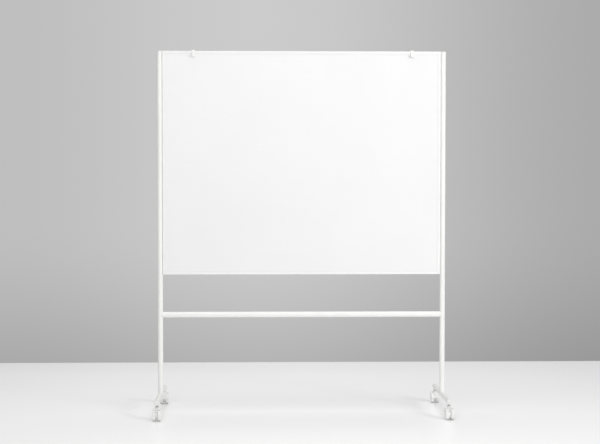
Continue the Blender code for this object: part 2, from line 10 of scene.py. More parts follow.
import bpy
import numpy as np
from bpy.props import FloatProperty, FloatVectorProperty, IntProperty, PointerProperty
from bpy.types import Operator, Panel, PropertyGroup
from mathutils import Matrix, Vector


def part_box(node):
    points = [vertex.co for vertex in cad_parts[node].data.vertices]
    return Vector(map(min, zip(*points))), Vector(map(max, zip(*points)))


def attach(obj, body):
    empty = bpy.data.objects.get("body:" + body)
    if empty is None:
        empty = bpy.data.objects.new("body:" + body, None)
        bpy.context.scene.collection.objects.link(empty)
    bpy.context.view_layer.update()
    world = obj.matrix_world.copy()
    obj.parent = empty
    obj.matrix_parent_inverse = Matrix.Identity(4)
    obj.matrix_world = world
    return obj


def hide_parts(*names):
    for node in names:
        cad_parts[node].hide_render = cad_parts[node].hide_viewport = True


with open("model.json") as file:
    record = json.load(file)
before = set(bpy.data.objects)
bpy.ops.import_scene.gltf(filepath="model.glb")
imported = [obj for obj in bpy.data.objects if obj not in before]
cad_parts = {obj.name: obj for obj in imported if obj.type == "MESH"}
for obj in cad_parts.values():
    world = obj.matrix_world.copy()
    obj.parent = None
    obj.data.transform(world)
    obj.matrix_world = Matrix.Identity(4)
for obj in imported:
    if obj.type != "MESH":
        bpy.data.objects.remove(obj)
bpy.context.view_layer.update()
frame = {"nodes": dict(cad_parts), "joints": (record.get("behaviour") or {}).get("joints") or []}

bl_info = {
    "name": "Rolling Whiteboard",
    "version": (1, 0, 0),
    "blender": (4, 5, 0),
    "location": "3D View > Sidebar > Whiteboard",
    "description": "Builds the surfaces and finishes of a rolling whiteboard around its frame",
    "category": "Object",
}

X, Y, Z = 0, 1, 2
ALONG_X, ALONG_Y, ALONG_Z = np.eye(3)
SIDES = ((-1, "left"), (1, "right"))
CASTERS = ("front_left", "front_right", "rear_left", "rear_right")
SCREWS = ("crossbar_screw", "lower_board_screw", "upper_board_screw")
FULL_TURN = 2 * math.pi
SHARP_ANGLE = math.radians(35)  # faces that meet at more than this keep a crisp edge

GAP = 0.0003  # between pieces that touch
SCREW_POCKET = 0.0016  # from a screw's face to the floor of its pocket
SOCKET_POCKET = 0.007  # depth of the hole in a foot tube that a caster socket shows in
CAP_STEP = 0.0003  # bevel on a tube cap where it meets the tube
STRAP_REAR = 0.0304  # how far a hook's strap comes down behind the board
STRAP_CORNER = 0.002  # radius of the corners at the strap's rear end
HOUSING_ARC = (-4.0, 112.0)  # where a fender starts and ends round the axle, in degrees
PEDAL_TILT = math.radians(30)  # of a brake pedal above level, unlocked

# How drilled_tube's loops are spaced: as shares of the tube's radius, of the way from a window's edge
# to the hole, and of the hole's radius
END_LOOPS = (0.3, 0.6, 0.86, 0.97, 1.0)
RING_LOOPS = (0.35, 0.7, 0.92, 1.0)
FLOOR_LOOPS = (1.0, 0.5)
WINDOW = 1.35  # half a window's side over the largest hole's radius

# The lights: name, place, the point that each looks at, and side. Each one's power is the setting
# with its name
LIGHTS = (
    ("key", (4.0, -4.6, 2.4), (0.1, 0, 1.0), 1.4),
    ("fill", (-0.8, -6.6, 2.9), (-0.2, 0, 0.9), 3.0),
    ("top", (0.0, 0.1, 4.6), (0, -0.1, 0), 4.0),
)
# The backdrop goes from its low colour, darkened as painted shade near the floor, to its high colour
# between these heights of a direction's end
BACKDROP_RISE = (-0.20, -0.02)
# Where its left, middle and right shares hold, from 0 for a direction's x of -0.5 to 1 for 0.5. The sides
# keep less as painted shade, leaving a painted pool of light in the middle
BACKDROP_SIDES = (0.30, 0.50, 0.80)


# Places and sizes read from the frame


def middle(node, axis):
    """Where the middle of a frame node's box is along an axis."""
    low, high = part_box(node)
    return (low[axis] + high[axis]) / 2


def half(node, axis):
    """Half the extent of a frame node's box along an axis."""
    low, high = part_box(node)
    return (high[axis] - low[axis]) / 2


def lowest(node, axis):
    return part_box(node)[0][axis]


def highest(node, axis):
    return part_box(node)[1][axis]


def outermost(node, axis):
    """The distance from the middle of the whole object to a frame node's far side."""
    return max(abs(lowest(node, axis)), abs(highest(node, axis)))


UPRIGHT_RADIUS = half("left_upright", Y)
FOOT_RADIUS = half("left_foot_tube", X)
CROSSBAR_RADIUS = half("crossbar", Z)
WHEEL_RADIUS = half("front_left_outer_wheel", Z)
WHEEL_WIDTH = 2 * half("front_left_outer_wheel", X)
BOARD_DEPTH = 2 * half("top_edge_profile", Y)
CASTER_TRAIL = abs(middle("front_left_outer_wheel", Y) - middle("front_left_caster_stem", Y))


# Sizes and colours that a user would change


def length(name, description, default):
    """A length in metres that isn't negative."""
    kind = {"subtype": "DISTANCE", "unit": "LENGTH"}
    return FloatProperty(name=name, description=description, default=default, min=0, precision=4, **kind)


def share(name, description, default):
    kind = {"min": 0, "max": 1, "subtype": "FACTOR"}
    return FloatProperty(name=name, description=description, default=default, **kind)


def colour(name, description, default):
    kind = {"size": 3, "min": 0, "max": 1, "subtype": "COLOR"}
    return FloatVectorProperty(name=name, description=description, default=default, **kind)


def turned_by(name, description, degrees):
    return FloatProperty(name=name, description=description, default=math.radians(degrees), subtype="ANGLE")


def power(name, description, default):
    return FloatProperty(name=name, description=description, default=default, min=0, unit="POWER")


def count(name, description, default, least):
    return IntProperty(name=name, description=description, default=default, min=least)


class TubeSettings(PropertyGroup):
    """The uprights, the crossbar and the feet."""

    facets: count("Facets", "Columns round a tube outside its drilled part", 64, 24)
    wall: length("Wall", "Thickness of the tubes' wall", 0.002)
    bead: length("Weld bead", "Radius of the weld bead at the foot of each upright", 0.0017)
    ripples: count("Ripples", "Scales along each weld bead", 46, 8)
    cap_rounding: length("Cap rounding", "Radius round a tube cap's outer edge", 0.0013)
    cap_crown: length("Cap crown", "How far a tube cap's middle stands above its edge", 0.0003)


class BoardSettings(PropertyGroup):
    """The edge profiles and the writing sheets."""

    lip: length("Lip", "Width of the edge profiles' lips on the writing sheets", 0.012)
    wall: length("Wall", "Thickness of the edge profiles", 0.0012)
    edge: length("Edge radius", "Radius along the edge profiles' outer edges", 0.0007)
    mitre_gap: length("Mitre gap", "Clearance between an edge profile's mitred end and the joint", 0.00012)
    bow: length("Bow", "How far the writing sheets lie off a true plane", 0.00014)
    sheet: length("Sheet", "Thickness of the writing sheets", 0.0006)


class HookSettings(PropertyGroup):
    """The pad hooks and their pegs."""

    strip: length("Strip", "Thickness of the bent strap", 0.0028)
    bend: length("Bend", "Outer radius of the strap's bends", 0.0036)
    edge: length("Edge radius", "Radius along the strap's edges", 0.0006)
    peg: length("Peg radius", "Radius of the peg's shank", 0.003)
    flange: length("Flange", "Width and thickness of the flange at the peg's root", 0.0012)
    head: length("Head thickness", "Thickness of the peg's head", 0.004)


class CasterSettings(PropertyGroup):
    """The four twin-wheel casters."""

    tread_edge: length("Tread edge", "Radius between a wheel's tread and its sides", 0.003)
    dish: length("Dish", "Depth of the dish in a wheel's outer side", 0.0022)
    ribs: count("Ribs", "Ribs in a wheel's dish", 8, 3)
    fender_wall: length("Fender wall", "Thickness of the fender over the wheels", 0.003)
    fender_gap: length("Fender gap", "Clearance between wheels and fender", 0.0014)
    web_radius: length("Web radius", "Radius of the housing's disc between the wheels", 0.021)
    boss_radius: length("Boss radius", "Radius of the boss that the stem stands in", 0.010)
    boss_flare: length("Boss flare", "How far the boss widens where it meets the fender", 0.0034)
    pedal_thickness: length("Pedal thickness", "Thickness of the brake pedal's paddle", 0.003)
    pedal_length: length("Pedal length", "Length of the brake pedal's paddle", 0.012)
    pedal_ribs: count("Pedal ribs", "Grip ribs across the paddle", 4, 0)


class FinishSettings(PropertyGroup):
    """Colours, and how worn and how even the finishes are."""

    paint: colour("Paint", "Powder coat on tubes and hooks", (0.80, 0.80, 0.785))
    profile: colour("Edge profiles", "Coat on the edge profiles", (0.80, 0.80, 0.795))
    enamel: colour("Enamel", "Writing surface", (0.772, 0.772, 0.772))
    plastic: colour("Plastic", "Caps, housings and pedals", (0.80, 0.80, 0.795))
    wheel: colour("Wheels", "Wheels of the casters", (0.84, 0.84, 0.835))
    stem: colour("Stems", "Steel of the caster stems", (0.60, 0.60, 0.61))
    steel: colour("Fasteners", "Steel of screws, inserts, sockets and axles", (0.45, 0.45, 0.46))
    core: colour("Core", "Board between the two writing sheets", (0.62, 0.55, 0.45))
    dirt: colour("Dirt", "What gathers on treads and worn edges", (0.46, 0.45, 0.43))
    wear: share("Wear", "How much edges and treads show their use", 0.30)


class StageSettings(PropertyGroup):
    """Camera, light, floor and backdrop."""

    focal: FloatProperty(
        name="Focal length", description="Camera lens in millimetres", default=75.26, min=10
    )
    camera: FloatVectorProperty(
        name="Camera",
        description="Where the camera stands",
        default=(-0.246, -6.811, 1.190),
        size=3,
        subtype="TRANSLATION",
    )
    pitch: turned_by("Pitch", "How far the camera looks down", 2.02)
    turn: turned_by("Turn", "How far the camera looks to +X", 1.455)
    shift_x: FloatProperty(name="Shift X", description="Lens shift across", default=0.0194)
    shift_y: FloatProperty(name="Shift Y", description="Lens shift upwards", default=0.0259)
    floor_edge: length("Floor edge", "How far behind the board the floor ends", 2.0)
    floor_reach: length("Floor reach", "How far the floor goes to the other sides", 14.0)
    floor: colour("Floor", "Colour of the floor", (0.955, 0.955, 0.955))
    # The low colour and the left and right shares paint shade on the backdrop: darker at the floor and to
    # the sides
    backdrop_low: colour("Backdrop, low", "Colour of the backdrop at the floor", (0.40, 0.40, 0.40))
    backdrop_high: colour("Backdrop, high", "Colour of the backdrop above the board", (0.60, 0.60, 0.60))
    backdrop_left: share("Backdrop, left", "What the backdrop keeps of its colour at the left", 0.863)
    backdrop_right: share("Backdrop, right", "What the backdrop keeps of its colour at the right", 0.67)
    key: power("Key light", "Power of the small light in front, far to the right", 146)
    fill: power("Fill light", "Power of the large light in front", 96)
    top: power("Top light", "Power of the light overhead", 106)


# Outlines


def arc(at, radius, start, end, steps):
    """at + radius (cos a, sin a), for the angle a going from start to end, in degrees, in even steps."""
    angle = np.radians(np.linspace(start, end, steps + 1))
    return np.column_stack([at[0] + radius * np.cos(angle), at[1] + radius * np.sin(angle)])


def outline(*parts):
    """Points and arcs one after another, as rows of (first, second)."""
    return np.vstack([np.atleast_2d(part) for part in parts])


def smooth_step(value, low, high):
    """3 t^2 - 2 t^3, where t goes from 0 at low to 1 at high and stays there."""
    t = np.clip((value - low) / (high - low), 0, 1)
    return t * t * (3 - 2 * t)


def rounded_section(half_width, half_height, radius, steps=4):
    """A rectangle with its corners rounded, as (across, up), anticlockwise. Each size is a number or
    an array of rows."""
    corners = ((1, 1, 0), (-1, 1, 90), (-1, -1, 180), (1, -1, 270))
    sizes = np.broadcast_arrays(*np.atleast_1d(half_width, half_height, radius))
    width, height, radius = (size[:, None] for size in sizes)
    across, up = [], []
    for sx, sy, start in corners:
        angle = np.radians(np.linspace(start, start + 90, steps + 1))
        across.append(sx * (width - radius) + radius * np.cos(angle))
        up.append(sy * (height - radius) + radius * np.sin(angle))
    return np.concatenate(across, axis=1), np.concatenate(up, axis=1)


# Shells: closed surfaces as (points, quads, triangles), facing outwards


def volume(points, faces):
    """The sum over the faces of a . (b x c) / 6, with a, b and c the corners of each face's triangles.
    """
    total = 0.0
    for corner in range(1, faces.shape[1] - 1):
        a, b, c = points[faces[:, 0]], points[faces[:, corner]], points[faces[:, corner + 1]]
        total += np.einsum("ij,ij->", a, np.cross(b, c)) / 6
    return total


def facing_out(points, quads, triangles):
    """The same shell, turned round if its volume is negative."""
    from_middle = points - points.mean(axis=0)
    if volume(from_middle, quads) + volume(from_middle, triangles) < 0:
        quads, triangles = quads[:, ::-1], triangles[:, ::-1]
    return points, quads, triangles


def joined_rows(index):
    """Quads between neighbouring rows of point numbers, each row being a loop."""
    ahead = np.roll(index, -1, axis=1)
    return np.stack([index[:-1], ahead[:-1], ahead[1:], index[1:]], axis=-1).reshape(-1, 4)


def grid_quads(index):
    """Quads between neighbouring rows and columns of a grid of point numbers."""
    near, far = index[:-1], index[1:]
    return np.stack([near[:, :-1], near[:, 1:], far[:, 1:], far[:, :-1]], axis=-1).reshape(-1, 4)


def fan(loop, tip):
    """Triangles from each side of a loop of point numbers to one point."""
    return np.column_stack([loop, np.roll(loop, -1), np.full(len(loop), tip)])


def closed(rows, first=None, last=None):
    """Loops of points joined one to the next, with each end closed on a point: by default its loop's
    mean."""
    count, around = rows.shape[:2]
    first = rows[0].mean(axis=0) if first is None else first
    last = rows[-1].mean(axis=0) if last is None else last
    points = np.vstack([rows.reshape(-1, 3), first, last])
    index = np.arange(count * around).reshape(count, around)
    triangles = np.vstack([fan(index[0][::-1], count * around), fan(index[-1], count * around + 1)])
    return facing_out(points, joined_rows(index), triangles)


def endless(rows):
    """Loops of points joined one to the next, and the last to the first."""
    count, around = rows.shape[:2]
    index = np.arange(count * around).reshape(count, around)
    index = np.vstack([index, index[:1]])
    return facing_out(rows.reshape(-1, 3), joined_rows(index), np.empty((0, 3), int))


def folded(rows):
    """Loops joined one to the next, where point i of a loop lies across its strip from point -1 - i:
    the ends are closed by quads between such pairs."""
    count, around = rows.shape[:2]
    index = np.arange(count * around).reshape(count, around)
    side = np.arange(around // 2 - 1)
    ends = []
    for loop in (index[0][::-1], index[-1]):
        ends.append(np.column_stack([loop[side], loop[side + 1], loop[-2 - side], loop[-1 - side]]))
    quads = np.vstack([joined_rows(index), *ends])
    return facing_out(rows.reshape(-1, 3), quads, np.empty((0, 3), int))


def slab(front, back):
    """Two grids of points of one size, joined round their rims."""
    count, across = front.shape[:2]
    size = count * across
    index = np.arange(size).reshape(count, across)
    inner = grid_quads(index)
    rim = np.concatenate([index[0, :-1], index[:-1, -1], index[-1, :0:-1], index[:0:-1, 0]])
    edge = joined_rows(np.stack([rim + size, rim]))
    quads = np.vstack([inner, inner[:, ::-1] + size, edge])
    points = np.vstack([front.reshape(-1, 3), back.reshape(-1, 3)])
    return facing_out(points, quads, np.empty((0, 3), int))


def turned(profile, sides, axis=Z, at=(0, 0, 0), facing=1, lobes=1.0):
    """A profile point (r, h) at the angle a goes to r lobes (cos a, sin a) across the axis, and facing
    h along it. lobes is 1, or a grid of a row for each profile point and a column for each angle. Both
    ends lie on the axis."""
    angle = np.linspace(0, FULL_TURN, sides, endpoint=False)
    radius = profile[:, :1] * np.ones(sides) * lobes
    rows = np.empty((len(profile), sides, 3))
    rows[..., axis] = facing * profile[:, 1:]
    rows[..., (axis + 1) % 3] = radius * np.cos(angle)
    rows[..., (axis + 2) % 3] = radius * np.sin(angle)
    rows += np.asarray(at)
    return closed(rows[1:-1], rows[0, 0], rows[-1, 0])


def hexagon(sides):
    """A hexagon's radius over its corner radius at each angle a: cos 30 / cos(a mod 60 - 30), in
    degrees."""
    angle = np.linspace(0, 360, sides, endpoint=False)
    return math.cos(math.radians(30)) / np.cos(np.radians(angle % 60 - 30))


# A drilled tube


def square_end(place):
    """A tube's end that is cut off square at a place along it."""
    return lambda across, reach: place + 0 * reach


def window_loop(first, cells, columns):
    """Point numbers round a square window of a grid, whose first row is given and whose first column
    is 0."""
    step = np.arange(cells)
    near, far = first * columns, (first + cells) * columns
    down = step * columns
    return np.concatenate([near + step, near + cells + down, far + cells - step, far - down])


def drilled_tube(radius, places, start, end, holes, along, drill, at, facets, cells=10):
    """A tube of a radius along one axis, with blind holes drilled into it square to that axis.

    A point is t along the tube and at the angle a from the drill's direction. start(p, r) and end(p,
    r) give t at the ends, for the place p across the drill and the distance r from the tube's axis.
    places are the values of t between. Round each hole (t, its radius, its floor's height), a square
    window of the grid is left out. Rings fill it: each goes a step from the window's edge, at (p, q),
    to the point of the hole's circle in the same direction, and lies on the tube at the height
    sqrt(radius^2 - p^2). Then the circle goes down to the floor, and to its middle.
    """
    window = max([hole[1] for hole in holes], default=radius / 4) * WINDOW
    inside = np.arcsin(np.linspace(-window, window, cells + 1) / radius)
    outside = np.linspace(inside[-1], FULL_TURN + inside[0], facets + 1)[1:-1]
    angle = np.concatenate([inside, outside])
    columns = len(angle)
    spans = [hole[0] + np.linspace(-window, window, cells + 1) for hole in holes]
    free = [t for t in places if all(abs(t - hole[0]) > window * 1.05 for hole in holes)]
    inner_rows = np.sort(np.concatenate([free, *spans]))
    across = np.cross(along, drill)

    def surface(p, up, t):
        p, up, t = np.broadcast_arrays(p, up, t)
        return np.asarray(at) + p[..., None] * across + up[..., None] * drill + t[..., None] * along

    def end_rows(edge):
        """Loops on an end's surface, from the middle out to the tube's radius."""
        reach = radius * np.array(END_LOOPS)[:, None]
        return surface(reach * np.sin(angle), reach * np.cos(angle), edge(reach * np.sin(angle), reach))

    body = surface(radius * np.sin(angle), radius * np.cos(angle), inner_rows[:, None])
    rows = np.concatenate([end_rows(start), body, end_rows(end)[::-1]])
    points, faces, loops = [rows.reshape(-1, 3)], [], []
    index = np.arange(rows.shape[0] * columns).reshape(-1, columns)
    keep = np.ones((rows.shape[0] - 1, columns), bool)
    total = index.size
    turns = []
    for t, hole, floor in holes:
        first = len(END_LOOPS) + int(np.argmin(abs(inner_rows - (t - window))))
        keep[first : first + cells, :cells] = False
        loop = window_loop(first, cells, columns)
        p = np.sin(angle[loop % columns]) * radius
        q = inner_rows[loop // columns - len(END_LOOPS)] - t
        far = np.hypot(p, q)
        blend = np.array(RING_LOOPS)[:, None]
        ring_p = p * (1 - blend) + blend * p / far * hole
        ring_q = q * (1 - blend) + blend * q / far * hole
        rings = surface(ring_p, np.sqrt(radius**2 - ring_p**2), t + ring_q)
        floors = np.array(FLOOR_LOOPS)[:, None]
        pit = surface(ring_p[-1] * floors, np.full_like(floors, floor), t + ring_q[-1] * floors)
        filled = len(RING_LOOPS) + len(FLOOR_LOOPS)
        numbers = total + np.arange(filled * len(loop)).reshape(filled, -1)
        tip = total + numbers.size
        points += [rings.reshape(-1, 3), pit.reshape(-1, 3), surface(0, floor, t)[None]]
        turns.append(joined_rows(np.vstack([loop, numbers])))
        loops.append(fan(numbers[-1], tip))
        total = tip + 1
    grid = joined_rows(index).reshape(-1, columns, 4)[keep]
    tips = surface(0, 0, np.array([float(start(0.0, 0.0)), float(end(0.0, 0.0))]))
    points.append(tips)
    loops += [fan(index[0][::-1], total), fan(index[-1], total + 1)]
    quads = np.vstack([grid, *turns])
    return facing_out(np.vstack(points), quads, np.vstack(loops))


# Finished pieces


def edge_wear(mesh, finest=0.0006, broadest=0.0045):
    """How exposed each point is, from 0 on broad faces to 1 on fine edges.

    A point's bend is the mean over its edges of n . (p - q) / |p - q|^2, with n the normal at p and q
    the far end. It is half the curvature, so a fillet of radius r has about 1 / 4r, with one of its
    two directions straight.
    """
    count = len(mesh.vertices)
    points, normals = np.empty(count * 3), np.empty(count * 3)
    mesh.vertices.foreach_get("co", points)
    mesh.vertices.foreach_get("normal", normals)
    points, normals = points.reshape(-1, 3), normals.reshape(-1, 3)
    ends = np.empty(len(mesh.edges) * 2, int)
    mesh.edges.foreach_get("vertices", ends)
    ends = ends.reshape(-1, 2)
    bend, edges = np.zeros(count), np.zeros(count)
    for near, far in (ends.T, ends.T[::-1]):
        step = points[near] - points[far]
        size = np.maximum(np.einsum("ij,ij->i", step, step), 1e-12)
        np.add.at(bend, near, np.einsum("ij,ij->i", normals[near], step) / size)
        np.add.at(edges, near, 1)
    bend /= np.maximum(edges, 1)
    return np.clip((bend - 1 / (4 * broadest)) / (1 / (4 * finest) - 1 / (4 * broadest)), 0, 1)


def piece(name, shells, make, slot, node, body="stand", wear=None):
    """A mesh of one or several shells that stands for a frame node, rides on its body and has a
    finish."""
    points, faces, start = [], [], 0
    for shell_points, quads, triangles in shells:
        points.append(shell_points)
        faces += (quads + start).tolist() + (triangles + start).tolist()
        start += len(shell_points)
    mesh = bpy.data.meshes.new(name)
    mesh.from_pydata(np.vstack(points).tolist(), [], faces)
    mesh.validate()
    mesh.shade_smooth()
    mesh.set_sharp_from_angle(angle=SHARP_ANGLE)
    exposed = mesh.attributes.new("wear", "FLOAT", "POINT")
    exposed.data.foreach_set("value", (edge_wear(mesh) if wear is None else wear).astype(np.float32))
    mesh.materials.append(finish_of(make))
    obj = bpy.data.objects.new(name, mesh)
    bpy.context.scene.collection.objects.link(obj)
    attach(obj, body)
    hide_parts(node)


def refinish(node, make):
    """Gives a frame node that keeps its shape a finish."""
    materials = frame["nodes"][node].data.materials
    materials.clear()
    materials.append(finish_of(make))


def moved(shell, place):
    """A shell with a function applied to its points. Its faces are turned round if that turned it
    inside out."""
    points, quads, triangles = shell
    return facing_out(place(points), quads, triangles)


# Materials


class Wiring:
    """The nodes of one material or world. Each call adds a node, sets its inputs from numbers, colours
    or sockets, and gives its first output."""

    def __init__(self, name, kind="materials", shader="Principled BSDF"):
        self.owner = getattr(bpy.data, kind).new(name)
        self.owner.use_nodes = True
        self.tree = self.owner.node_tree
        self.shader = self.tree.nodes[shader]
        self.places = self.tree.nodes.new("ShaderNodeTexCoord").outputs

    def feed(self, socket, value):
        if isinstance(value, bpy.types.NodeSocket):
            self.tree.links.new(value, socket)
        else:
            socket.default_value = value

    def add(self, kind, inputs=(), output=0, **settings):
        node = self.tree.nodes.new(f"ShaderNode{kind}")
        for name, value in settings.items():
            setattr(node, name, value)
        for key, value in dict(inputs).items():
            self.feed(node.inputs[key], value)
        return node.outputs[output]

    def noise(self, size, detail=2.0, stretch=(1, 1, 1), roughness=0.5):
        """Noise from 0 to 1 with features of a size in metres, drawn out along the axes by stretch."""
        scale = [1 / s for s in stretch]
        scaled = self.add("Mapping", {"Vector": self.places["Object"], "Scale": scale})
        inputs = {"Vector": scaled, "Scale": 1 / size, "Detail": detail, "Roughness": roughness}
        return self.add("TexNoise", inputs)

    def spread(self, source, low, high, start=0.3, stop=0.7):
        """source mapped from start..stop to low..high."""
        inputs = {"Value": source, "From Min": start, "From Max": stop, "To Min": low, "To Max": high}
        return self.add("MapRange", inputs)

    def maths(self, operation, a, b):
        return self.add("Math", {0: a, 1: b}, operation=operation)

    def blend(self, factor, a, b, how="MIX"):
        """Colour a where factor is 0, and b, or what it makes of a, where it is 1."""
        node = self.tree.nodes.new("ShaderNodeMix")
        node.data_type, node.blend_type = "RGBA", how
        for socket, value in ((node.inputs[0], factor), (node.inputs[6], a), (node.inputs[7], b)):
            self.feed(socket, value)
        return node.outputs[2]

    def wear(self, patch=0.004):
        """The piece's wear attribute, broken up by noise."""
        exposed = self.add("Attribute", output=2, attribute_name="wear")
        return self.maths("MULTIPLY", exposed, self.spread(self.noise(patch, 4.0), 0.0, 1.0, 0.42, 0.62))

    def relief(self, *layers):
        """Bumps laid one on another, each a (height from 0 to 1, depth in metres)."""
        normal = None
        for height, depth in layers:
            inputs = {"Height": height, "Distance": depth, "Strength": 1.0}
            if normal is not None:
                inputs["Normal"] = normal
            normal = self.add("Bump", inputs)
        self.feed(self.shader.inputs["Normal"], normal)

    def finish(self, base, roughness, **fixed):
        """Sets the shader's colour and roughness, and its other sockets by name with _ for a space."""
        self.feed(self.shader.inputs["Base Color"], base)
        self.feed(self.shader.inputs["Roughness"], roughness)
        for name, value in fixed.items():
            self.shader.inputs[name.replace("_", " ")].default_value = value
        return self.owner


def rgba(rgb, factor=1.0):
    """A colour times a factor, with full alpha."""
    return (*[min(1.0, channel * factor) for channel in rgb], 1.0)


def finish_of(make):
    """The material that a function makes, made once. It has the function's name, which no material
    slot has."""
    name = make.__name__
    return bpy.data.materials.get(name) or make(bpy.context.scene.whiteboard_finish)


def powder_coat(look):
    """White powder coat on tube: orange peel about 1.4 mm across, faint clouds, and dirt on edges."""
    w = Wiring("powder_coat")
    clouds = w.spread(w.noise(0.12, 3.0), 0.0, 1.0)
    base = w.blend(clouds, rgba(look.paint, 0.975), rgba(look.paint, 1.02))
    specks = w.spread(w.noise(0.0011, 1.0), 0.0, 0.05, 0.70, 0.78)
    base = w.blend(specks, base, rgba(look.dirt))
    worn = w.maths("MULTIPLY", w.wear(), look.wear)
    base = w.blend(worn, base, rgba(look.dirt, 1.3))
    roughness = w.spread(w.noise(0.03, 3.0), 0.34, 0.46)
    roughness = w.maths("ADD", roughness, w.maths("MULTIPLY", worn, 0.3))
    w.relief((w.noise(0.0014, 1.0), 0.00006), (w.noise(0.014, 2.0), 0.00010))
    return w.finish(base, roughness, Specular_IOR_Level=0.45)


def bent_strap_coat(look):
    """The hooks' thinner coat: finer peel, rubbed where the strap is bent and where it meets the
    board."""
    w = Wiring("bent_strap_coat")
    base = w.blend(w.spread(w.noise(0.02, 3.0), 0, 1), rgba(look.paint, 0.96), rgba(look.paint, 1.01))
    worn = w.maths("MULTIPLY", w.wear(0.0016), min(1.0, look.wear * 1.4))
    base = w.blend(worn, base, rgba(look.dirt, 1.2))
    roughness = w.spread(w.noise(0.006, 3.0), 0.30, 0.44)
    w.relief((w.noise(0.0008, 1.0), 0.00004), (w.noise(0.006, 2.0), 0.00006))
    return w.finish(base, roughness, Specular_IOR_Level=0.5)


def drawn_profile(name, look, stretch):
    """A coat over a drawn profile: die lines along its length show through it, with faint clouds."""
    w = Wiring(name)
    lines = w.noise(0.0012, 3.0, stretch, 0.6)
    clouds = w.spread(w.noise(0.15, 3.0), 0.0, 1.0)
    base = w.blend(clouds, rgba(look.profile, 0.98), rgba(look.profile, 1.01))
    base = w.blend(w.spread(lines, 0.0, 0.05), base, rgba(look.dirt, 1.4))
    worn = w.maths("MULTIPLY", w.wear(0.006), look.wear)
    base = w.blend(worn, base, rgba(look.dirt, 1.35))
    roughness = w.spread(lines, 0.28, 0.42)
    w.relief((lines, 0.00003), (w.noise(0.0011, 1.0), 0.00002))
    return w.finish(base, roughness, Specular_IOR_Level=0.5)


def level_profile_coat(look):
    return drawn_profile("level_profile_coat", look, (120, 1, 1))


def side_profile_coat(look):
    return drawn_profile("side_profile_coat", look, (1, 1, 120))


def fired_enamel(look):
    """Fired enamel: glossy, with a long soft peel, and streaks where it has been wiped to and fro."""
    w = Wiring("fired_enamel")
    clouds = w.spread(w.noise(0.4, 3.0), 0.0, 1.0)
    base = w.blend(clouds, rgba(look.enamel, 0.988), rgba(look.enamel, 1.008))
    wipes = w.noise(0.020, 4.0, (9, 1, 1), 0.6)
    haze = w.spread(wipes, 0.0, 0.05, 0.52, 0.74)
    patches = w.spread(w.noise(0.30, 2.0), 0.0, 1.0, 0.40, 0.60)
    base = w.blend(w.maths("MULTIPLY", haze, patches), base, rgba(look.dirt, 1.5))
    roughness = w.maths("ADD", w.spread(wipes, 0.16, 0.25), w.spread(w.noise(0.002, 2.0), 0.0, 0.04))
    w.relief((w.noise(0.007, 2.0), 0.000012), (w.noise(0.0007, 1.0), 0.000003))
    return w.finish(base, roughness, Specular_IOR_Level=0.5, Coat_Weight=0.35, Coat_Roughness=0.08)


def moulded(name, look, tint, grain, rough, patch=0.003, rubbed=1.0):
    """Moulded plastic: an eroded grain, flow marks, a slight clouding, and dirt on its edges."""
    w = Wiring(name)
    flow = w.noise(0.012, 3.0, (1, 1, 3))
    base = w.blend(w.spread(flow, 0.0, 1.0), rgba(tint, 0.96), rgba(tint, 1.02))
    worn = w.maths("MULTIPLY", w.wear(patch), min(1.0, look.wear * rubbed))
    base = w.blend(worn, base, rgba(look.dirt, 1.1))
    roughness = w.maths("ADD", w.spread(flow, rough, rough + 0.10), w.maths("MULTIPLY", worn, 0.2))
    cells = w.add("TexVoronoi", {"Vector": w.places["Object"], "Scale": 1 / grain})
    w.relief((cells, grain / 30), (w.noise(grain / 2, 2.0), grain / 40))
    return w.finish(base, roughness, Specular_IOR_Level=0.45)


def cap_moulding(look):
    return moulded("cap_moulding", look, [channel * 0.92 for channel in look.plastic], 0.0006, 0.46)


def caster_nylon(look):
    return moulded("caster_nylon", look, look.plastic, 0.0009, 0.36, 0.004, 1.3)


def wheel_nylon(look):
    """The wheels' plastic: as moulded, with scuffs round the tread, where it also is duller and
    dirtier."""
    w = Wiring("wheel_nylon")
    flow = w.noise(0.010, 3.0)
    base = w.blend(w.spread(flow, 0.0, 1.0), rgba(look.wheel, 0.96), rgba(look.wheel, 1.03))
    tread = w.add("Attribute", output=2, attribute_name="wear")
    rubbed = w.spread(w.noise(0.0045, 5.0, (1, 1, 1), 0.7), 0.15, 1.0, 0.40, 0.62)
    scuffs = w.maths("MULTIPLY", tread, rubbed)
    dusty = w.maths("MULTIPLY", scuffs, min(1.0, look.wear * 1.2))
    base = w.blend(dusty, base, rgba(look.dirt))
    roughness = w.maths("ADD", w.spread(flow, 0.36, 0.46), w.maths("MULTIPLY", scuffs, 0.22))
    w.relief((w.noise(0.0005, 2.0), 0.00002), (w.noise(0.0030, 4.0), 0.00005))
    return w.finish(base, roughness, Specular_IOR_Level=0.42)


def machined(name, tint, look, stretch, rough):
    """Turned or drawn steel: tool lines along one axis, a stained plating, and bare edges."""
    w = Wiring(name)
    lines = w.noise(0.0004, 3.0, stretch, 0.6)
    stain = w.spread(w.noise(0.005, 4.0), 0.0, 1.0, 0.40, 0.65)
    base = w.blend(stain, rgba(tint, 1.12), rgba(tint, 0.78))
    worn = w.maths("MULTIPLY", w.wear(0.001), look.wear)
    base = w.blend(worn, base, rgba(tint, 2.2))
    roughness = w.maths("ADD", w.spread(lines, rough, rough + 0.16), w.maths("MULTIPLY", stain, 0.10))
    w.relief((lines, 0.00001), (w.noise(0.002, 2.0), 0.00001))
    return w.finish(base, roughness, Metallic=1.0)


def plated_stem(look):
    return machined("plated_stem", look.stem, look, (8, 8, 1), 0.30)


def turned_fastener(look):
    return machined("turned_fastener", look.steel, look, (1, 8, 8), 0.26)


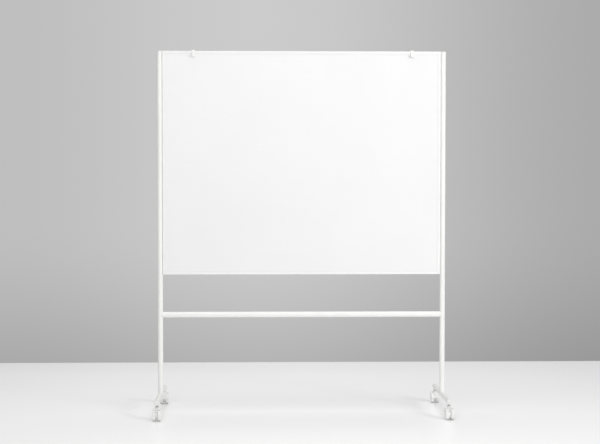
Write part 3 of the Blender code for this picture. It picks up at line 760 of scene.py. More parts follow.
def core_board(look):
    """The board's filling: paper walls of a honeycomb, with a fibre between them."""
    w = Wiring("core_board")
    inputs = {"Vector": w.places["Object"], "Scale": 1 / 0.012}
    cells = w.add("TexVoronoi", inputs, feature="DISTANCE_TO_EDGE")
    base = w.blend(w.spread(cells, 0.0, 1.0, 0.02, 0.10), rgba(look.core, 0.6), rgba(look.core))
    base = w.blend(w.spread(w.noise(0.001, 4.0), 0.0, 0.3), base, rgba(look.core, 1.2))
    w.relief((cells, 0.0004), (w.noise(0.0006, 3.0), 0.00005))
    return w.finish(base, w.spread(w.noise(0.004, 3.0), 0.80, 0.95))


# Operators


class Maker(Operator):
    """What the operators share: building the piece and saying so."""

    bl_options = {"REGISTER"}

    def execute(self, context):
        self.make(context.scene)
        return {"FINISHED"}


class WHITEBOARD_OT_uprights(Maker):
    """Build both uprights with their screw pockets, their weld beads and their caps"""

    bl_idname = "whiteboard.uprights"
    bl_label = "Uprights"

    def make(self, scene):
        tubes = scene.whiteboard_tubes
        for side, label in SIDES:
            at = np.array([middle(f"{label}_upright", X), 0, 0])
            foot = middle(f"{label}_foot_tube", Z)
            top = highest(f"{label}_upright", Z)
            self.upright(tubes, side, label, at, foot, top)
            self.cap(tubes, label, at, top)

    def upright(self, tubes, side, label, at, foot, top):
        """The tube's lower end lies on the foot: z = foot + sqrt((foot radius + gap)^2 - x^2)."""

        def saddle(across, reach):
            x_squared = np.maximum(reach**2 - across**2, 0)
            return foot + np.sqrt((FOOT_RADIUS + GAP) ** 2 - x_squared)

        holes = []
        for kind in SCREWS:
            node = f"{label}_{kind}"
            floor = outermost(node, X) - abs(at[X]) - SCREW_POCKET
            holes.append((middle(node, Z), half(node, Y) + GAP, floor))
        places = np.linspace(foot + FOOT_RADIUS + 0.004, top - 0.001, 40)
        way = ALONG_Z, side * ALONG_X
        ends = saddle, square_end(top)
        shell = drilled_tube(UPRIGHT_RADIUS, places, *ends, holes, *way, at, tubes.facets)
        shells = [shell, self.bead(tubes, at, foot)]
        piece(f"{label}_upright_tube", shells, powder_coat, "frame_paint", f"{label}_upright")

    def bead(self, tubes, at, foot):
        """A round bead swept along the line where the two tubes meet, at (R cos a, R sin a) and the
        saddle's height.

        Its radius is the bead's times 0.94 + 0.09 |sin(n a / 2)|, which gives n overlapping scales.
        """
        stations, around = 480, 14
        proud = tubes.bead * 0.15
        angle = np.linspace(0, FULL_TURN, stations, endpoint=False)
        path_radius = UPRIGHT_RADIUS + proud
        saddle = FOOT_RADIUS + proud + GAP
        height = np.sqrt(np.maximum(saddle**2 - (path_radius * np.cos(angle)) ** 2, 1e-8))
        path = np.column_stack([path_radius * np.cos(angle), path_radius * np.sin(angle), foot + height])
        path += at
        tangent = np.roll(path, -1, axis=0) - np.roll(path, 1, axis=0)
        tangent /= np.linalg.norm(tangent, axis=1)[:, None]
        outwards = np.column_stack([np.cos(angle), np.sin(angle), np.zeros(stations)])
        outwards -= np.einsum("ij,ij->i", outwards, tangent)[:, None] * tangent
        outwards /= np.linalg.norm(outwards, axis=1)[:, None]
        other = np.cross(tangent, outwards)
        radius = tubes.bead * (0.94 + 0.09 * abs(np.sin(tubes.ripples * angle / 2)))
        turn = np.linspace(0, FULL_TURN, around, endpoint=False)[None, :, None]
        offset = np.cos(turn) * outwards[:, None] + np.sin(turn) * other[:, None]
        return endless(path[:, None] + radius[:, None, None] * offset)

    def cap(self, tubes, label, at, top):
        node = f"{label}_upright_cap"
        thickness = highest(node, Z) - top
        profile = cap_profile(tubes, UPRIGHT_RADIUS, thickness, top - lowest(node, Z))
        shell = turned(profile, 96, Z, at + [0, 0, top])
        piece(f"{label}_upright_end_cap", [shell], cap_moulding, "cap_plastic", node)


def cap_profile(tubes, radius, thickness, plug):
    """A tube cap as (radius, height above the tube's end): a crowned face, a rounded edge, a step and
    the plug.

    The face falls from the crown by the square of the distance from the middle.
    """
    rounding = tubes.cap_rounding
    flat = radius - rounding
    across = np.linspace(0, flat, 7)
    face = np.column_stack([across, thickness - tubes.cap_crown * (across / flat) ** 2])
    rim = (flat, thickness - tubes.cap_crown - rounding)
    inner = radius - tubes.wall - GAP
    return outline(
        face[:-1],
        arc(rim, rounding, 90, 0, 6),
        (radius, GAP + CAP_STEP), (radius - CAP_STEP, GAP), (inner, GAP),
        (inner, -plug + 0.001), (inner - 0.0008, -plug), (0, -plug),
    )


class WHITEBOARD_OT_crossbar(Maker):
    """Build the crossbar, its ends cut to fit round the uprights"""

    bl_idname = "whiteboard.crossbar"
    bl_label = "Crossbar"

    def make(self, scene):
        at = np.array([0, 0, middle("crossbar", Z)])
        post = middle("right_upright", X)
        limit = post - half("crossbar", X)

        def mouth(y):
            """How far the upright's surface stands out at the height y off the bar's axis."""
            return np.maximum(np.sqrt(np.maximum((UPRIGHT_RADIUS + GAP) ** 2 - y**2, 0)), limit)

        def left(across, reach):
            return mouth(across) - post

        def right(across, reach):
            return post - mouth(across)

        facets = scene.whiteboard_tubes.facets + 32
        places = np.linspace(-post + 0.018, post - 0.018, 60)
        shell = drilled_tube(CROSSBAR_RADIUS, places, left, right, [], ALONG_X, ALONG_Z, at, facets)
        piece("crossbar_tube", [shell], powder_coat, "frame_paint", "crossbar")


class WHITEBOARD_OT_feet(Maker):
    """Build both foot tubes, drilled from below for the caster sockets, and their end caps"""

    bl_idname = "whiteboard.feet"
    bl_label = "Feet"

    def make(self, scene):
        tubes = scene.whiteboard_tubes
        for _, label in SIDES:
            node = f"{label}_foot_tube"
            end = half(node, Y)
            at = np.array([middle(node, X), 0, middle(node, Z)])
            sockets = [f"{where}_{label}_caster_socket" for where in ("front", "rear")]
            floor = FOOT_RADIUS - SOCKET_POCKET
            holes = [(middle(socket, Y), half(socket, Y) + GAP, floor) for socket in sockets]
            places = np.linspace(-end + 0.001, end - 0.001, 36)
            ends = square_end(-end), square_end(end)
            way = ALONG_Y, -ALONG_Z
            shell = drilled_tube(FOOT_RADIUS, places, *ends, holes, *way, at, tubes.facets, 12)
            piece(f"{label}_foot", [shell], powder_coat, "frame_paint", node)
            for facing, where in ((-1, "front"), (1, "rear")):
                self.cap(tubes, f"{label}_{where}_foot_cap", facing, at, end)
            for socket in sockets:
                self.sleeve(socket)

    def cap(self, tubes, node, facing, at, end):
        thickness = 2 * half(node, Y) - (end - min(abs(lowest(node, Y)), abs(highest(node, Y))))
        plug = 2 * half(node, Y) - thickness
        profile = cap_profile(tubes, FOOT_RADIUS, thickness, plug)
        shell = turned(profile, 96, Y, at + [0, facing * end, 0], facing)
        piece(f"{node}_moulding", [shell], cap_moulding, "cap_plastic", node)

    def sleeve(self, node):
        """The caster's threaded sleeve: a ring with its lower edge broken, closed inside above the
        stem."""
        radius, low, high = half(node, X), lowest(node, Z), highest(node, Z)
        at = (middle(node, X), middle(node, Y), 0)
        bore, roof, bevel = radius - 0.0022, low + 0.0215, 0.0004
        profile = outline(
            (0, roof), (bore, roof), (bore, low + bevel), (bore + bevel, low),
            (radius - bevel, low), (radius, low + bevel), (radius, high), (0, high),
        )
        piece(f"{node}_sleeve", [turned(profile, 64, Z, at)], turned_fastener, "fastener_steel", node)


class WHITEBOARD_OT_screws(Maker):
    """Build the six counterproud screws with their hexagon sockets"""

    bl_idname = "whiteboard.screws"
    bl_label = "Screws"

    def make(self, scene):
        for side, label in SIDES:
            for kind in SCREWS:
                self.screw(side, f"{label}_{kind}")

    def screw(self, side, node):
        """A turned screw whose socket's radius follows a hexagon round the axis."""
        head, depth = half(node, Y), 2 * half(node, X)
        shank = head / 1.8
        socket, pit = shank * 0.62, shank * 1.1
        profile = outline(
            (0, -pit - socket * 0.3), (socket, -pit), (socket, -0.0002),
            (socket + 0.0002, 0), (head - 0.0003, 0), (head, -0.0003),
            (shank, -0.0006 - head + shank), (shank, -depth + 0.0008),
            (shank - 0.0008, -depth), (0, -depth),
        )
        sides = 72
        lobes = np.ones((len(profile), sides))
        lobes[1:4] = hexagon(sides)
        at = (side * outermost(node, X), 0, middle(node, Z))
        shell = turned(profile, sides, X, at, side, lobes)
        piece(f"{node}_turned", [shell], turned_fastener, "fastener_steel", node)


def profile_section(board):
    """An edge profile's U section as a loop of (across the board, inwards), point i facing point -1 -
    i.

    It runs along the outside from one lip's tip to the other's and back along the inside, with rounded
    corners.
    """
    reach, wall = BOARD_DEPTH / 2, board.wall
    outer_line = lipped(reach, 0, board.edge, board.lip, -wall / 4)
    inner_line = lipped(reach - wall, wall, 0.0002, board.lip, wall / 4)
    return np.vstack([outer_line, inner_line[::-1]])


def lipped(reach, depth, radius, lip, tip):
    """One face of the section: up a lip, round two corners and down the other lip. tip leans the lips'
    ends out."""
    turn = depth + radius
    return outline(
        (-reach - tip, lip), (-reach, lip - abs(tip)), (-reach, turn + radius),
        arc((-reach + radius, turn), radius, 180, 270, 5),
        arc((reach - radius, turn), radius, 270, 360, 5),
        (reach, turn + radius), (reach, lip - abs(tip)), (reach + tip, lip),
    )


class WHITEBOARD_OT_edge_profiles(Maker):
    """Build the four mitred profiles round the board's edge"""

    bl_idname = "whiteboard.edge_profiles"
    bl_label = "Edge Profiles"

    def make(self, scene):
        board = scene.whiteboard_board
        width = highest("top_edge_profile", X)
        low, high = lowest("bottom_edge_profile", Z), highest("top_edge_profile", Z)
        height = (high - low) / 2
        level, upright = level_profile_coat, side_profile_coat
        self.profile(board, "top_edge_profile", level, X, width, (0, high), -1)
        self.profile(board, "bottom_edge_profile", level, X, width, (0, low), 1)
        self.profile(board, "left_edge_profile", upright, Z, height, (-width, low + height), 1)
        self.profile(board, "right_edge_profile", upright, Z, height, (width, low + height), -1)

    def profile(self, board, node, coat, along, reach, at, inwards):
        """The section at the place s runs out to s (reach - inwards distance - gap), so its ends are
        cut at 45 degrees."""
        across, depth = profile_section(board).T
        place = np.linspace(-1, 1, 25)[:, None] * (reach - depth - board.mitre_gap)
        rows = np.empty((*place.shape, 3))
        rows[..., along] = place + (at[1] if along == Z else at[0])
        rows[..., Y] = across
        rows[..., X if along == Z else Z] = (at[0] if along == Z else at[1]) + inwards * depth
        piece(f"{node}_drawn", [folded(rows)], coat, "edge_profile", node)


class WHITEBOARD_OT_writing_sheets(Maker):
    """Build the two enamelled writing sheets, and give the board's core its paper"""

    bl_idname = "whiteboard.writing_sheets"
    bl_label = "Writing Sheets"

    def make(self, scene):
        board = scene.whiteboard_board
        for facing, where, phase in ((-1, "front", 0.0), (1, "rear", 1.7)):
            node = f"{where}_writing_sheet"
            face = lowest(node, Y) if facing < 0 else highest(node, Y)
            self.sheet(board, node, facing, face, phase)
        refinish("board_core", core_board)

    def sheet(self, board, node, facing, face, phase):
        """Its face lies behind a true plane by bow w (1 + sin(7u + phase) cos(5v)) / 2, where u and v
        go from 0 to 1 along its sides and w = 16 u (1 - u) v (1 - v) keeps its rim in the plane."""
        columns, rows = 121, 97
        u, v = np.meshgrid(np.linspace(0, 1, columns), np.linspace(0, 1, rows))
        low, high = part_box(node)
        weight = 16 * u * (1 - u) * v * (1 - v)
        dent = board.bow * weight * (1 + np.sin(7 * u + phase) * np.cos(5 * v)) / 2
        grid = np.empty((rows, columns, 3))
        grid[..., X] = low[X] + (high[X] - low[X]) * u
        grid[..., Z] = low[Z] + (high[Z] - low[Z]) * v
        grid[..., Y] = face - facing * dent
        back = grid.copy()
        back[..., Y] -= facing * board.sheet
        flat = np.zeros(2 * rows * columns)
        piece(f"{node}_enamelled", [slab(grid, back)], fired_enamel, "writing_enamel", node, wear=flat)


class WHITEBOARD_OT_pad_hooks(Maker):
    """Build the two pad hooks: a bent strap over the board's top edge, and its peg"""

    bl_idname = "whiteboard.pad_hooks"
    bl_label = "Pad Hooks"

    def make(self, scene):
        hooks = scene.whiteboard_hooks
        for _, label in SIDES:
            strap, peg = f"{label}_pad_hook", f"{label}_hook_peg"
            look = bent_strap_coat, "hook_paint"
            piece(f"{label}_strap", [self.strap(hooks, strap)], *look, strap, f"{label}_hook")
            piece(f"{label}_peg", [self.peg(hooks, strap, peg)], *look, peg, f"{label}_hook")

    def path(self, hooks, node):
        """The strap's middle line in the YZ plane, from its front end up, over the board and down."""
        bend = hooks.bend - hooks.strip / 2
        front, rear = lowest(node, Y) + hooks.strip / 2, highest(node, Y) - hooks.strip / 2
        top = highest(node, Z) - hooks.strip / 2
        width, start, step = half(node, X), lowest(node, Z), 0.0005
        rise = start + width * (1 - np.cos(np.radians(np.linspace(2, 90, 16))))
        low_rear = top + hooks.strip / 2 - STRAP_REAR
        drop = low_rear + STRAP_CORNER * (1 - np.sin(np.radians(np.linspace(0, 85, 6))))

        def upright(y, first, last, steps):
            return np.column_stack([np.full(steps, y), np.linspace(first, last, steps)])

        level = np.linspace(front + bend + step, rear - bend - step, 10)
        return outline(
            np.column_stack([np.full(16, front), rise]),
            upright(front, start + width + 0.002, top - bend - step, 8),
            arc((front + bend, top - bend), bend, 180, 90, 10),
            np.column_stack([level, np.full(10, top)]),
            arc((rear - bend, top - bend), bend, 90, 0, 10),
            upright(rear, top - bend - step, low_rear + 0.0022, 8),
            np.column_stack([np.full(6, rear), drop]),
        )

    def strap(self, hooks, node):
        """A rounded rectangle carried along the path. The half width is sqrt(w^2 - (w - s)^2) within w
        of the front end, s being the distance from it, and the rear end's corners are rounded by 2 mm
        in the same way."""
        path = self.path(hooks, node)
        width, corner = half(node, X), STRAP_CORNER
        step = np.linalg.norm(np.diff(path, axis=0), axis=1)
        gone = np.concatenate([[0], np.cumsum(step)]) + path[0, 1] - lowest(node, Z)
        left = gone[-1] + corner * (1 - math.sin(math.radians(85))) - gone
        wide = np.sqrt(width**2 - np.maximum(width - gone, 0) ** 2)
        narrow = corner - np.sqrt(np.maximum(corner**2 - np.maximum(corner - left, 0) ** 2, 0))
        wide = np.maximum(wide - narrow, 0.0004)
        tangent = np.gradient(path, axis=0)
        tangent /= np.linalg.norm(tangent, axis=1)[:, None]
        normal = np.column_stack([-tangent[:, 1], tangent[:, 0]])
        across, up = rounded_section(wide, hooks.strip / 2, np.minimum(hooks.edge, wide * 0.6))
        rows = np.empty((*across.shape, 3))
        rows[..., X] = middle(node, X) + across
        rows[..., Y] = path[:, :1] + up * normal[:, :1]
        rows[..., Z] = path[:, 1:] + up * normal[:, 1:]
        return closed(rows)

    def peg(self, hooks, strap, node):
        """A turned peg: shank in the strap, flange on it, and a head with a crown and one shallow
        ring."""
        front, tip = lowest(strap, Y), lowest(node, Y)
        reach = front - tip
        head = half(node, X)
        back = reach - hooks.head
        profile = outline(
            (0, -hooks.strip), (hooks.peg, -hooks.strip), (hooks.peg, GAP),
            (hooks.peg + hooks.flange, GAP),
            arc((hooks.peg + hooks.flange / 2, GAP + hooks.flange / 2), hooks.flange / 2, 0, 90, 4),
            (hooks.peg, GAP + hooks.flange + 0.0003), (hooks.peg, back - 0.0004),
            (hooks.peg + 0.0004, back),
            arc((head - 0.0006, back + 0.0006), 0.0006, -90, 0, 4),
            arc((head - 0.0014, reach - 0.0018), 0.0014, 0, 82, 7),
            (head - 0.0022, reach - 0.00030), (head - 0.0026, reach - 0.00042),
            (head - 0.0030, reach - 0.00022), (head / 2, reach - 0.00006), (0, reach),
        )
        at = (middle(node, X), front, middle(node, Z))
        return turned(profile, 72, Y, at, -1)


def caster_frame(label):
    """A function that takes points from a caster's own frame, with its stem at x = y = 0 and trailing
    to -Y, to where this caster stands. A rear caster is turned half round about its stem."""
    at = np.array([middle(f"{label}_caster_stem", X), middle(f"{label}_caster_stem", Y), 0])
    turn = np.array([-1, -1, 1]) if at[Y] > 0 else np.array([1, 1, 1])
    return lambda points: points * turn + at


def round_axle(radius, angle, x):
    """Points at a distance from the axle in a caster's own frame, at an angle in degrees above its
    stem side."""
    radius, angle, x = np.broadcast_arrays(radius, np.radians(angle), x)
    y, z = radius * np.cos(angle) - CASTER_TRAIL, radius * np.sin(angle) + WHEEL_RADIUS
    return np.stack([x, y, z], axis=-1)


class WHITEBOARD_OT_caster_housings(Maker):
    """Build the four caster housings, each with its boss, its fender and the web between the wheels"""

    bl_idname = "whiteboard.caster_housings"
    bl_label = "Caster Housings"

    def make(self, scene):
        casters = scene.whiteboard_casters
        for label in CASTERS:
            node = f"{label}_caster_housing"
            shells = [self.fender(casters, node), self.web(casters), self.boss(casters, node)]
            shells += [self.rib(casters, x) for x in (-0.0032, 0.0032)]
            placed = [moved(shell, caster_frame(label)) for shell in shells]
            piece(f"{label}_housing", placed, caster_nylon, "caster_plastic", node, f"{label}_caster")
            refinish(f"{label}_caster_axle", turned_fastener)

    def fender(self, casters, node):
        """A rounded rectangle carried round the axle from -4 to 112 degrees. Towards each end its
        thickness falls as a quarter of an ellipse, and its outer face falls off by the square of x to
        give it a crown."""
        inner = WHEEL_RADIUS + casters.fender_gap
        wall = casters.fender_wall
        start, stop = HOUSING_ARC
        share = (1 - np.cos(np.radians(np.linspace(2, 178, 72)))) / 2
        angle = start + (stop - start) * share
        from_end = np.minimum(angle - start, stop - angle) / 3.0
        fade = np.sqrt(1 - np.maximum(1 - from_end, 0) ** 2)
        half_width = half(node, X)
        across, up = rounded_section(half_width, wall / 2 * fade, 0.0011 * fade, 5)
        across_rows = across - np.sign(across) * 0.0012 * (1 - fade[:, None])
        crown = 0.0006 * (across_rows / half_width) ** 2 * (up > 0)
        return closed(round_axle(inner + wall / 2 + up - crown, angle[:, None], across_rows))

    def web(self, casters):
        """A plate across the axle between x = -h and h. Its radius goes from that of its disc up to
        the middle of the fender where that is, by a smooth step over 6 degrees, and it is rounded by
        0.8 mm at its rim."""
        inner, outer = (middle(f"front_left_{which}_wheel", X) for which in ("inner", "outer"))
        reach = (abs(inner - outer) - WHEEL_WIDTH) / 2 - GAP
        angle = np.linspace(-180, 180, 180, endpoint=False)
        start, stop = HOUSING_ARC
        inside = smooth_step(angle, start - 1, start + 5) * (1 - smooth_step(angle, stop - 4, stop + 2))
        disc = casters.web_radius
        outer = disc + inside * (WHEEL_RADIUS + casters.fender_gap + casters.fender_wall / 3 - disc)
        rounding = 0.0008
        rim = arc((-rounding, reach - rounding), rounding, 90, 0, 4)
        line = outline((-0.006, reach), rim, rim[::-1] * [1, -1], (-0.006, -reach))
        radius = outer[None] + line[:, :1]
        rows = round_axle(radius, angle[None], line[:, 1:])
        ends = round_axle(0.0, 0.0, np.array([reach, -reach]))
        return closed(rows, ends[0], ends[1])

    def boss(self, casters, node):
        """A turned boss round the stem, flared by (1 - t)^3 at its foot, whose foot lies in the
        fender's wall: z = axle height + sqrt(wall radius^2 - (y + trail)^2)."""
        top = highest(node, Z)
        sides = 72
        angle = np.linspace(0, FULL_TURN, sides, endpoint=False)
        share = np.array([0.0, 0.05, 0.12, 0.2, 0.3, 0.42, 0.56, 0.7, 0.85, 1.0])[:, None]
        radius = casters.boss_radius + casters.boss_flare * (1 - share) ** 3 + 0 * angle
        y = radius * np.sin(angle)
        wall = WHEEL_RADIUS + casters.fender_gap + casters.fender_wall / 2
        foot = WHEEL_RADIUS + np.sqrt(wall**2 - (y + CASTER_TRAIL) ** 2 * 0.94)
        edge = 0.0008
        height = foot + (top - edge - foot) * share
        wallside = np.stack([radius * np.cos(angle), y, height], axis=-1)
        rounded = arc((casters.boss_radius - edge, top - edge), edge, 0, 90, 5)[1:]
        radial, height = rounded[:, :1], rounded[:, 1:] + 0 * angle
        rim = np.stack([radial * np.cos(angle), radial * np.sin(angle), height], axis=-1)
        low = wallside[:1].copy()
        low[..., :2] *= 0.5
        return closed(np.concatenate([low, wallside, rim]))

    def rib(self, casters, x):
        """A raised rib over the fender, from the boss to its tip, as a rounded strip carried round the
        axle."""
        outer = WHEEL_RADIUS + casters.fender_gap + casters.fender_wall
        angle = np.linspace(2, 44, 30)
        fade = np.sqrt(np.clip(np.minimum(angle - 2, 44 - angle) / 4, 0.02, 1))
        across, up = rounded_section(0.0007, 0.0006 * fade, 0.0005 * fade, 4)
        return closed(round_axle(outer - 0.0004 + up, angle[:, None], x + across))


class WHITEBOARD_OT_caster_wheels(Maker):
    """Build the eight wheels, with a ribbed dish and a hub in each outer side"""

    bl_idname = "whiteboard.caster_wheels"
    bl_label = "Caster Wheels"

    def make(self, scene):
        casters = scene.whiteboard_casters
        for label in CASTERS:
            stem = middle(f"{label}_caster_stem", X)
            for which in ("inner", "outer"):
                node = f"{label}_{which}_wheel"
                facing = 1 if middle(node, X) > stem else -1
                inside = lowest(node, X) if facing > 0 else highest(node, X)
                at = np.array([inside, middle(node, Y), middle(node, Z)])
                shell, tread = self.wheel(casters, at, facing)
                piece(f"{node}_moulding", [shell], wheel_nylon, "caster_wheel", node, f"{node}_body", tread)

    def wheel(self, casters, at, facing):
        """A profile (radius, distance from the inner side) turned about X, with its wear by the
        distance to the tread.

        In the dish, ribs raise the surface by a share of the dish's depth: (0.5 + 0.5 cos(n a)) ^ 6
        between hub and rim, fading at both. The tread's radius falls off by the square of the distance
        from its middle.
        """
        sides, fall = 144, 0.00015
        edge, width, outer = casters.tread_edge, WHEEL_WIDTH, WHEEL_RADIUS
        floor = width - casters.dish
        tread = np.linspace(edge, width - edge, 7)
        crown = fall * ((tread - width / 2) / (width / 2 - edge)) ** 2
        shoulder = outer - edge - fall
        rim = outer - 2 * edge
        spokes = np.linspace(rim - 0.0022, 0.0075, 14)
        profile = outline(
            (0, 0), (0.006, 0), (0.0064, 0.0006), (0.0074, 0.0006), (0.0078, 0),
            arc((shoulder, edge), edge, -90, 0, 7)[:-1],
            np.column_stack([outer - crown, tread]),
            arc((shoulder, width - edge), edge, 0, 90, 7)[1:],
            (rim + 0.0006, width), (rim, width - 0.0002),
            (rim - 0.0009, width - 0.0016), (rim - 0.0016, floor),
            np.column_stack([spokes, np.full(14, floor)]),
            (0.0070, floor), (0.0066, width - 0.0008),
            arc((0.0060, width - 0.0010), 0.0006, 0, 80, 3),
            (0.0030, width - 0.0003), (0, width - 0.00025),
        )
        points, quads, triangles = turned(profile, sides, X, (0, 0, 0), 1)
        distance = np.hypot(points[:, Y], points[:, Z])
        turn = np.arctan2(points[:, Z], points[:, Y])
        window = smooth_step(distance, 0.0072, 0.0090)
        window *= 1 - smooth_step(distance, rim - 0.0045, rim - 0.0024)
        in_dish = abs(points[:, X] - floor) < 1e-7
        ribs = (0.5 + 0.5 * np.cos(casters.ribs * turn)) ** 6
        points[:, X] += in_dish * window * ribs * casters.dish * 0.55
        used = smooth_step(distance, outer - 0.0032, outer - 0.0004)
        placed = points * [facing, 1, 1] + at
        return facing_out(placed, quads, triangles), used


class WHITEBOARD_OT_brake_pedals(Maker):
    """Build the four brake pedals with their ribbed paddles"""

    bl_idname = "whiteboard.brake_pedals"
    bl_label = "Brake Pedals"

    def make(self, scene):
        casters = scene.whiteboard_casters
        joints = {joint["name"]: joint for joint in frame["joints"]}
        for label in CASTERS:
            node = f"{label}_brake_pedal"
            joint = joints[f"{label}_brake_tilt"]
            axis_at = np.array(joint["pos_m"])
            outwards = np.sign(axis_at[Y])
            shells = self.shells(casters, node, axis_at, outwards)
            piece(f"{label}_pedal", shells, caster_nylon, "caster_plastic", node, f"{label}_brake")

    def shells(self, casters, node, axis_at, outwards):
        """The paddle and its tongue, made as (x, along, across) from the pedal's axis and then tilted.
        The tip reaches as far out as the node's box."""
        cosine, sine = math.cos(PEDAL_TILT), math.sin(PEDAL_TILT)

        def place(points):
            x, along, across = points.T
            level = along * cosine + across * sine
            return np.column_stack([x, outwards * level, along * sine - across * cosine]) + axis_at

        tip = (outermost(node, Y) - abs(axis_at[Y])) / cosine
        near = tip - casters.pedal_length
        paddle = self.paddle(casters, half(node, X), near, tip)
        return moved(paddle, place), moved(self.tongue(near + 0.002), place)

    def paddle(self, casters, wide, near, tip):
        """A rounded section along the pedal, carried across it. Its half width along the pedal shrinks
        towards both sides as a quarter of an ellipse, and ribs lift its top by 0.3 mm times |sin|^0.7.
        """
        across_pedal = wide * np.sin(np.radians(np.linspace(-88, 88, 40)))
        corner = 0.0045
        inset = np.maximum(abs(across_pedal) - (wide - corner), 0)
        shrink = corner - np.sqrt(corner**2 - inset**2)
        centre_line, half_length = (near + tip) / 2, (tip - near) / 2
        half_height = casters.pedal_thickness / 2 - 0.0003
        section = rounded_section(half_length - shrink * 0.55, half_height, 0.0009, 5)
        along, up = (self.refined(values) for values in section)
        phase = (along + half_length) / (2 * half_length) * casters.pedal_ribs * math.pi
        side_fade = smooth_step(wide - abs(across_pedal), 0.0016, 0.0030)[:, None]
        end_fade = smooth_step(half_length - abs(along), 0.0010, 0.0018)
        ribs = 0.0003 * abs(np.sin(phase)) ** 0.7 * side_fade * end_fade
        top = up < -half_height * 0.98
        x = across_pedal[:, None] + 0 * along
        return closed(np.stack([x, centre_line + along, up - ribs * top], axis=-1))

    def refined(self, values, extra=24):
        """A section's loop with its two long straight stretches filled with even steps."""
        quarter = values.shape[1] // 4
        parts = []
        for corner in range(4):
            piece_values = values[:, corner * quarter : (corner + 1) * quarter]
            following = values[:, ((corner + 1) * quarter) % values.shape[1]]
            parts.append(piece_values)
            steps = np.linspace(0, 1, extra + 2)[1:-1]
            if corner % 2 == 0:
                parts.append(piece_values[:, -1:] * (1 - steps) + following[:, None] * steps)
        return np.concatenate(parts, axis=1)

    def tongue(self, end):
        """A rounded bar from round the pedal's axis out to the paddle, 5.6 mm wide, thinning along its
        length."""
        radius, half_width = 0.003, 0.0028
        rear = radius * -np.cos(np.radians(np.linspace(4, 90, 12)))
        along = np.concatenate([rear, np.linspace(0.001, end, 14)])
        thick = np.where(along < 0, np.sqrt(np.maximum(radius**2 - along**2, 1e-10)), radius)
        thick = thick - smooth_step(along, 0.002, end) * (radius - 0.0013)
        across, up = rounded_section(half_width, thick, np.minimum(0.0006, thick * 0.5), 3)
        rows = np.stack([across, along[:, None] + 0 * across, up], axis=-1)
        return closed(rows)


class WHITEBOARD_OT_caster_stems(Maker):
    """Build the four caster stems with their hexagon collars"""

    bl_idname = "whiteboard.caster_stems"
    bl_label = "Caster Stems"

    def make(self, scene):
        for label in CASTERS:
            node = f"{label}_caster_stem"
            piece(f"{label}_stem", [self.stem(node)], plated_stem, "stem_steel", node)

    def stem(self, node):
        """A turned stem: tail, washer flange, hexagon collar with its corners turned off, and the
        threaded end.

        The thread is a wave of half its depth along the stem, so its ridges are rings.
        """
        at = (middle(node, X), middle(node, Y), 0)
        low, high = lowest(node, Z), highest(node, Z)
        flange = half(node, X)
        bottom, tail = low + 0.030, 0.0032
        washer, collar, height, thread = 0.0018, 0.00675, 0.0095, 0.005
        corner = 0.92  # radius at the collar's ends over the collar's
        top = bottom + height
        pitch = 0.0010
        crests = np.arange(top + 0.001, high - 0.001, pitch / 2)
        wave = thread - 0.0002 * (1 + np.cos(np.arange(len(crests)) * math.pi))
        profile = outline(
            (0, low), (tail - 0.0006, low), (tail, low + 0.0006), (tail, bottom),
            (flange - 0.0003, bottom), (flange, bottom + 0.0003),
            (flange, bottom + washer - 0.0004), (flange - 0.0004, bottom + washer),
            (collar * corner, bottom + washer), (collar, bottom + washer + 0.0007),
            (collar, top - 0.0007), (collar * corner, top), (thread, top),
            np.column_stack([wave, crests]),
            (thread - 0.0006, high), (0, high),
        )
        sides = 96
        lobes = np.ones((len(profile), sides))
        lobes[9:11] = hexagon(sides)
        lobes[[8, 11]] = np.minimum(1, hexagon(sides) / corner)
        return turned(profile, sides, Z, at, 1, lobes)


class WHITEBOARD_OT_hidden_fittings(Maker):
    """Give the crossbar's threaded inserts, which stay as the frame has them, their steel"""

    bl_idname = "whiteboard.hidden_fittings"
    bl_label = "Hidden Fittings"

    def make(self, scene):
        for _, label in SIDES:
            refinish(f"{label}_crossbar_insert", turned_fastener)


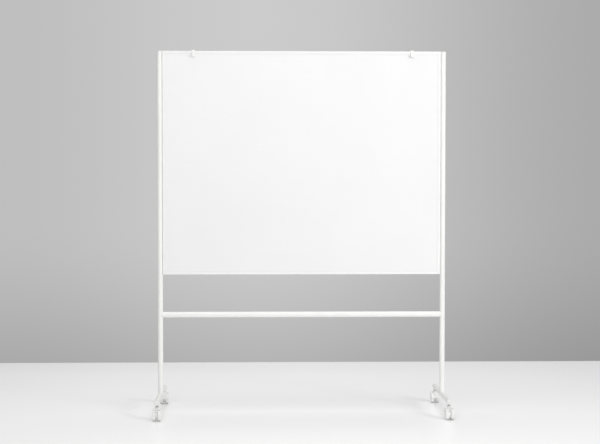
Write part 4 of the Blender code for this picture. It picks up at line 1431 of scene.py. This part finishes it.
class WHITEBOARD_OT_stage(Maker):
    """Build the floor, the backdrop, the lights and the camera"""

    bl_idname = "whiteboard.stage"
    bl_label = "Stage"

    def make(self, scene):
        stage = scene.whiteboard_stage
        self.floor(stage)
        self.backdrop(scene, stage)
        for name, at, towards, size in LIGHTS:
            self.light(f"{name}_light", getattr(stage, name), at, towards, size)
        self.camera(scene, stage)
        scene.view_settings.view_transform = "Standard"

    def floor(self, stage):
        """A level sheet, from its edge behind the board to its reach on the other sides."""
        columns = 41
        u, v = np.meshgrid(np.linspace(-1, 1, columns), np.linspace(0, 1, columns))
        points = np.empty((columns, columns, 3))
        points[..., X] = stage.floor_reach * u
        points[..., Y] = stage.floor_edge - (stage.floor_edge + stage.floor_reach) * v
        points[..., Z] = 0
        index = np.arange(columns**2).reshape(columns, columns)
        quads = grid_quads(index)[:, ::-1]
        mesh = bpy.data.meshes.new("studio_floor")
        mesh.from_pydata(points.reshape(-1, 3).tolist(), [], quads.tolist())
        w = Wiring("studio_floor")
        clouds = w.spread(w.noise(1.5, 2.0), 0.0, 1.0)
        base = w.blend(clouds, rgba(stage.floor, 0.995), rgba(stage.floor, 1.005))
        mesh.materials.append(w.finish(base, 0.28, Specular_IOR_Level=0.35))
        obj = bpy.data.objects.new("studio_floor", mesh)
        bpy.context.scene.collection.objects.link(obj)

    def backdrop(self, scene, stage):
        """A backdrop all round with painted shade: its colour goes from a darker low to high with the
        direction's rise above level, by a smooth step, and it keeps less of that colour to the left and to
        the right, which leaves a painted pool of light in the middle."""
        w = Wiring("studio", "worlds", "Background")
        scene.world = w.owner
        way = w.add("SeparateXYZ", {0: w.places["Generated"]}).node.outputs
        rise = {"Value": way[Z], "From Min": BACKDROP_RISE[0], "From Max": BACKDROP_RISE[1]}
        # Painted shade: the backdrop darker towards the floor
        rise = w.add("MapRange", rise, interpolation_type="SMOOTHSTEP")
        base = w.blend(rise, rgba(stage.backdrop_low), rgba(stage.backdrop_high))
        # Painted shade: less of the colour to the left and right, a painted pool of light in the middle
        aside = w.add("MapRange", {"Value": way[X], "From Min": -0.5, "From Max": 0.5})
        painted_side_shade = w.add("ValToRGB", {0: aside})
        ramp = painted_side_shade.node.color_ramp
        ramp.interpolation = "EASE"
        left, centre, right = BACKDROP_SIDES
        sides = (left, stage.backdrop_left), (right, stage.backdrop_right)
        for element, (place, value) in zip(ramp.elements, sides):
            element.color, element.position = rgba((value,) * 3), place
        ramp.elements.new(centre).color = (1, 1, 1, 1)
        w.feed(w.shader.inputs["Color"], w.blend(1, base, painted_side_shade, "MULTIPLY"))

    def light(self, name, power, at, towards, size):
        """A square area light that looks from one point towards another."""
        data = bpy.data.lights.new(name, "AREA")
        data.energy = power
        data.size = size
        obj = bpy.data.objects.new(name, data)
        bpy.context.scene.collection.objects.link(obj)
        obj.location = at
        obj.visible_glossy = False
        direction = np.array(towards) - np.array(at)
        level = math.hypot(direction[X], direction[Y])
        obj.rotation_euler = (math.atan2(level, -direction[Z]), 0, math.atan2(-direction[X], direction[Y]))

    def camera(self, scene, stage):
        data = bpy.data.cameras.new("camera")
        data.lens = stage.focal
        data.shift_x, data.shift_y = stage.shift_x, stage.shift_y
        obj = bpy.data.objects.new("camera", data)
        scene.collection.objects.link(obj)
        obj.location = stage.camera
        obj.rotation_euler = (math.pi / 2 - stage.pitch, 0, -stage.turn)
        scene.camera = obj


STEPS = (
    WHITEBOARD_OT_stage,
    WHITEBOARD_OT_uprights,
    WHITEBOARD_OT_crossbar,
    WHITEBOARD_OT_feet,
    WHITEBOARD_OT_screws,
    WHITEBOARD_OT_edge_profiles,
    WHITEBOARD_OT_writing_sheets,
    WHITEBOARD_OT_pad_hooks,
    WHITEBOARD_OT_caster_stems,
    WHITEBOARD_OT_caster_housings,
    WHITEBOARD_OT_caster_wheels,
    WHITEBOARD_OT_brake_pedals,
    WHITEBOARD_OT_hidden_fittings,
)
SETTINGS = {
    "whiteboard_tubes": TubeSettings,
    "whiteboard_board": BoardSettings,
    "whiteboard_hooks": HookSettings,
    "whiteboard_casters": CasterSettings,
    "whiteboard_finish": FinishSettings,
    "whiteboard_stage": StageSettings,
}


class WHITEBOARD_PT_panel(Panel):
    """The settings and the steps, in the order that they run in"""

    bl_label = "Rolling Whiteboard"
    bl_idname = "WHITEBOARD_PT_panel"
    bl_space_type = "VIEW_3D"
    bl_region_type = "UI"
    bl_category = "Whiteboard"

    def draw(self, context):
        for name, group in SETTINGS.items():
            box = self.layout.box()
            box.label(text=group.__doc__.split(".")[0])
            for setting in group.__annotations__:
                box.prop(getattr(context.scene, name), setting)
        for step in STEPS:
            self.layout.operator(step.bl_idname)


def register():
    for group in SETTINGS.values():
        bpy.utils.register_class(group)
    for step in STEPS:
        bpy.utils.register_class(step)
    bpy.utils.register_class(WHITEBOARD_PT_panel)
    for name, group in SETTINGS.items():
        setattr(bpy.types.Scene, name, PointerProperty(type=group))


def unregister():
    for name in SETTINGS:
        delattr(bpy.types.Scene, name)
    bpy.utils.unregister_class(WHITEBOARD_PT_panel)
    for step in reversed(STEPS):
        bpy.utils.unregister_class(step)
    for group in reversed(list(SETTINGS.values())):
        bpy.utils.unregister_class(group)


def main():
    register()
    for step in STEPS:
        group, name = step.bl_idname.split(".")
        getattr(getattr(bpy.ops, group), name)()


if __name__ == "__main__":
    main()
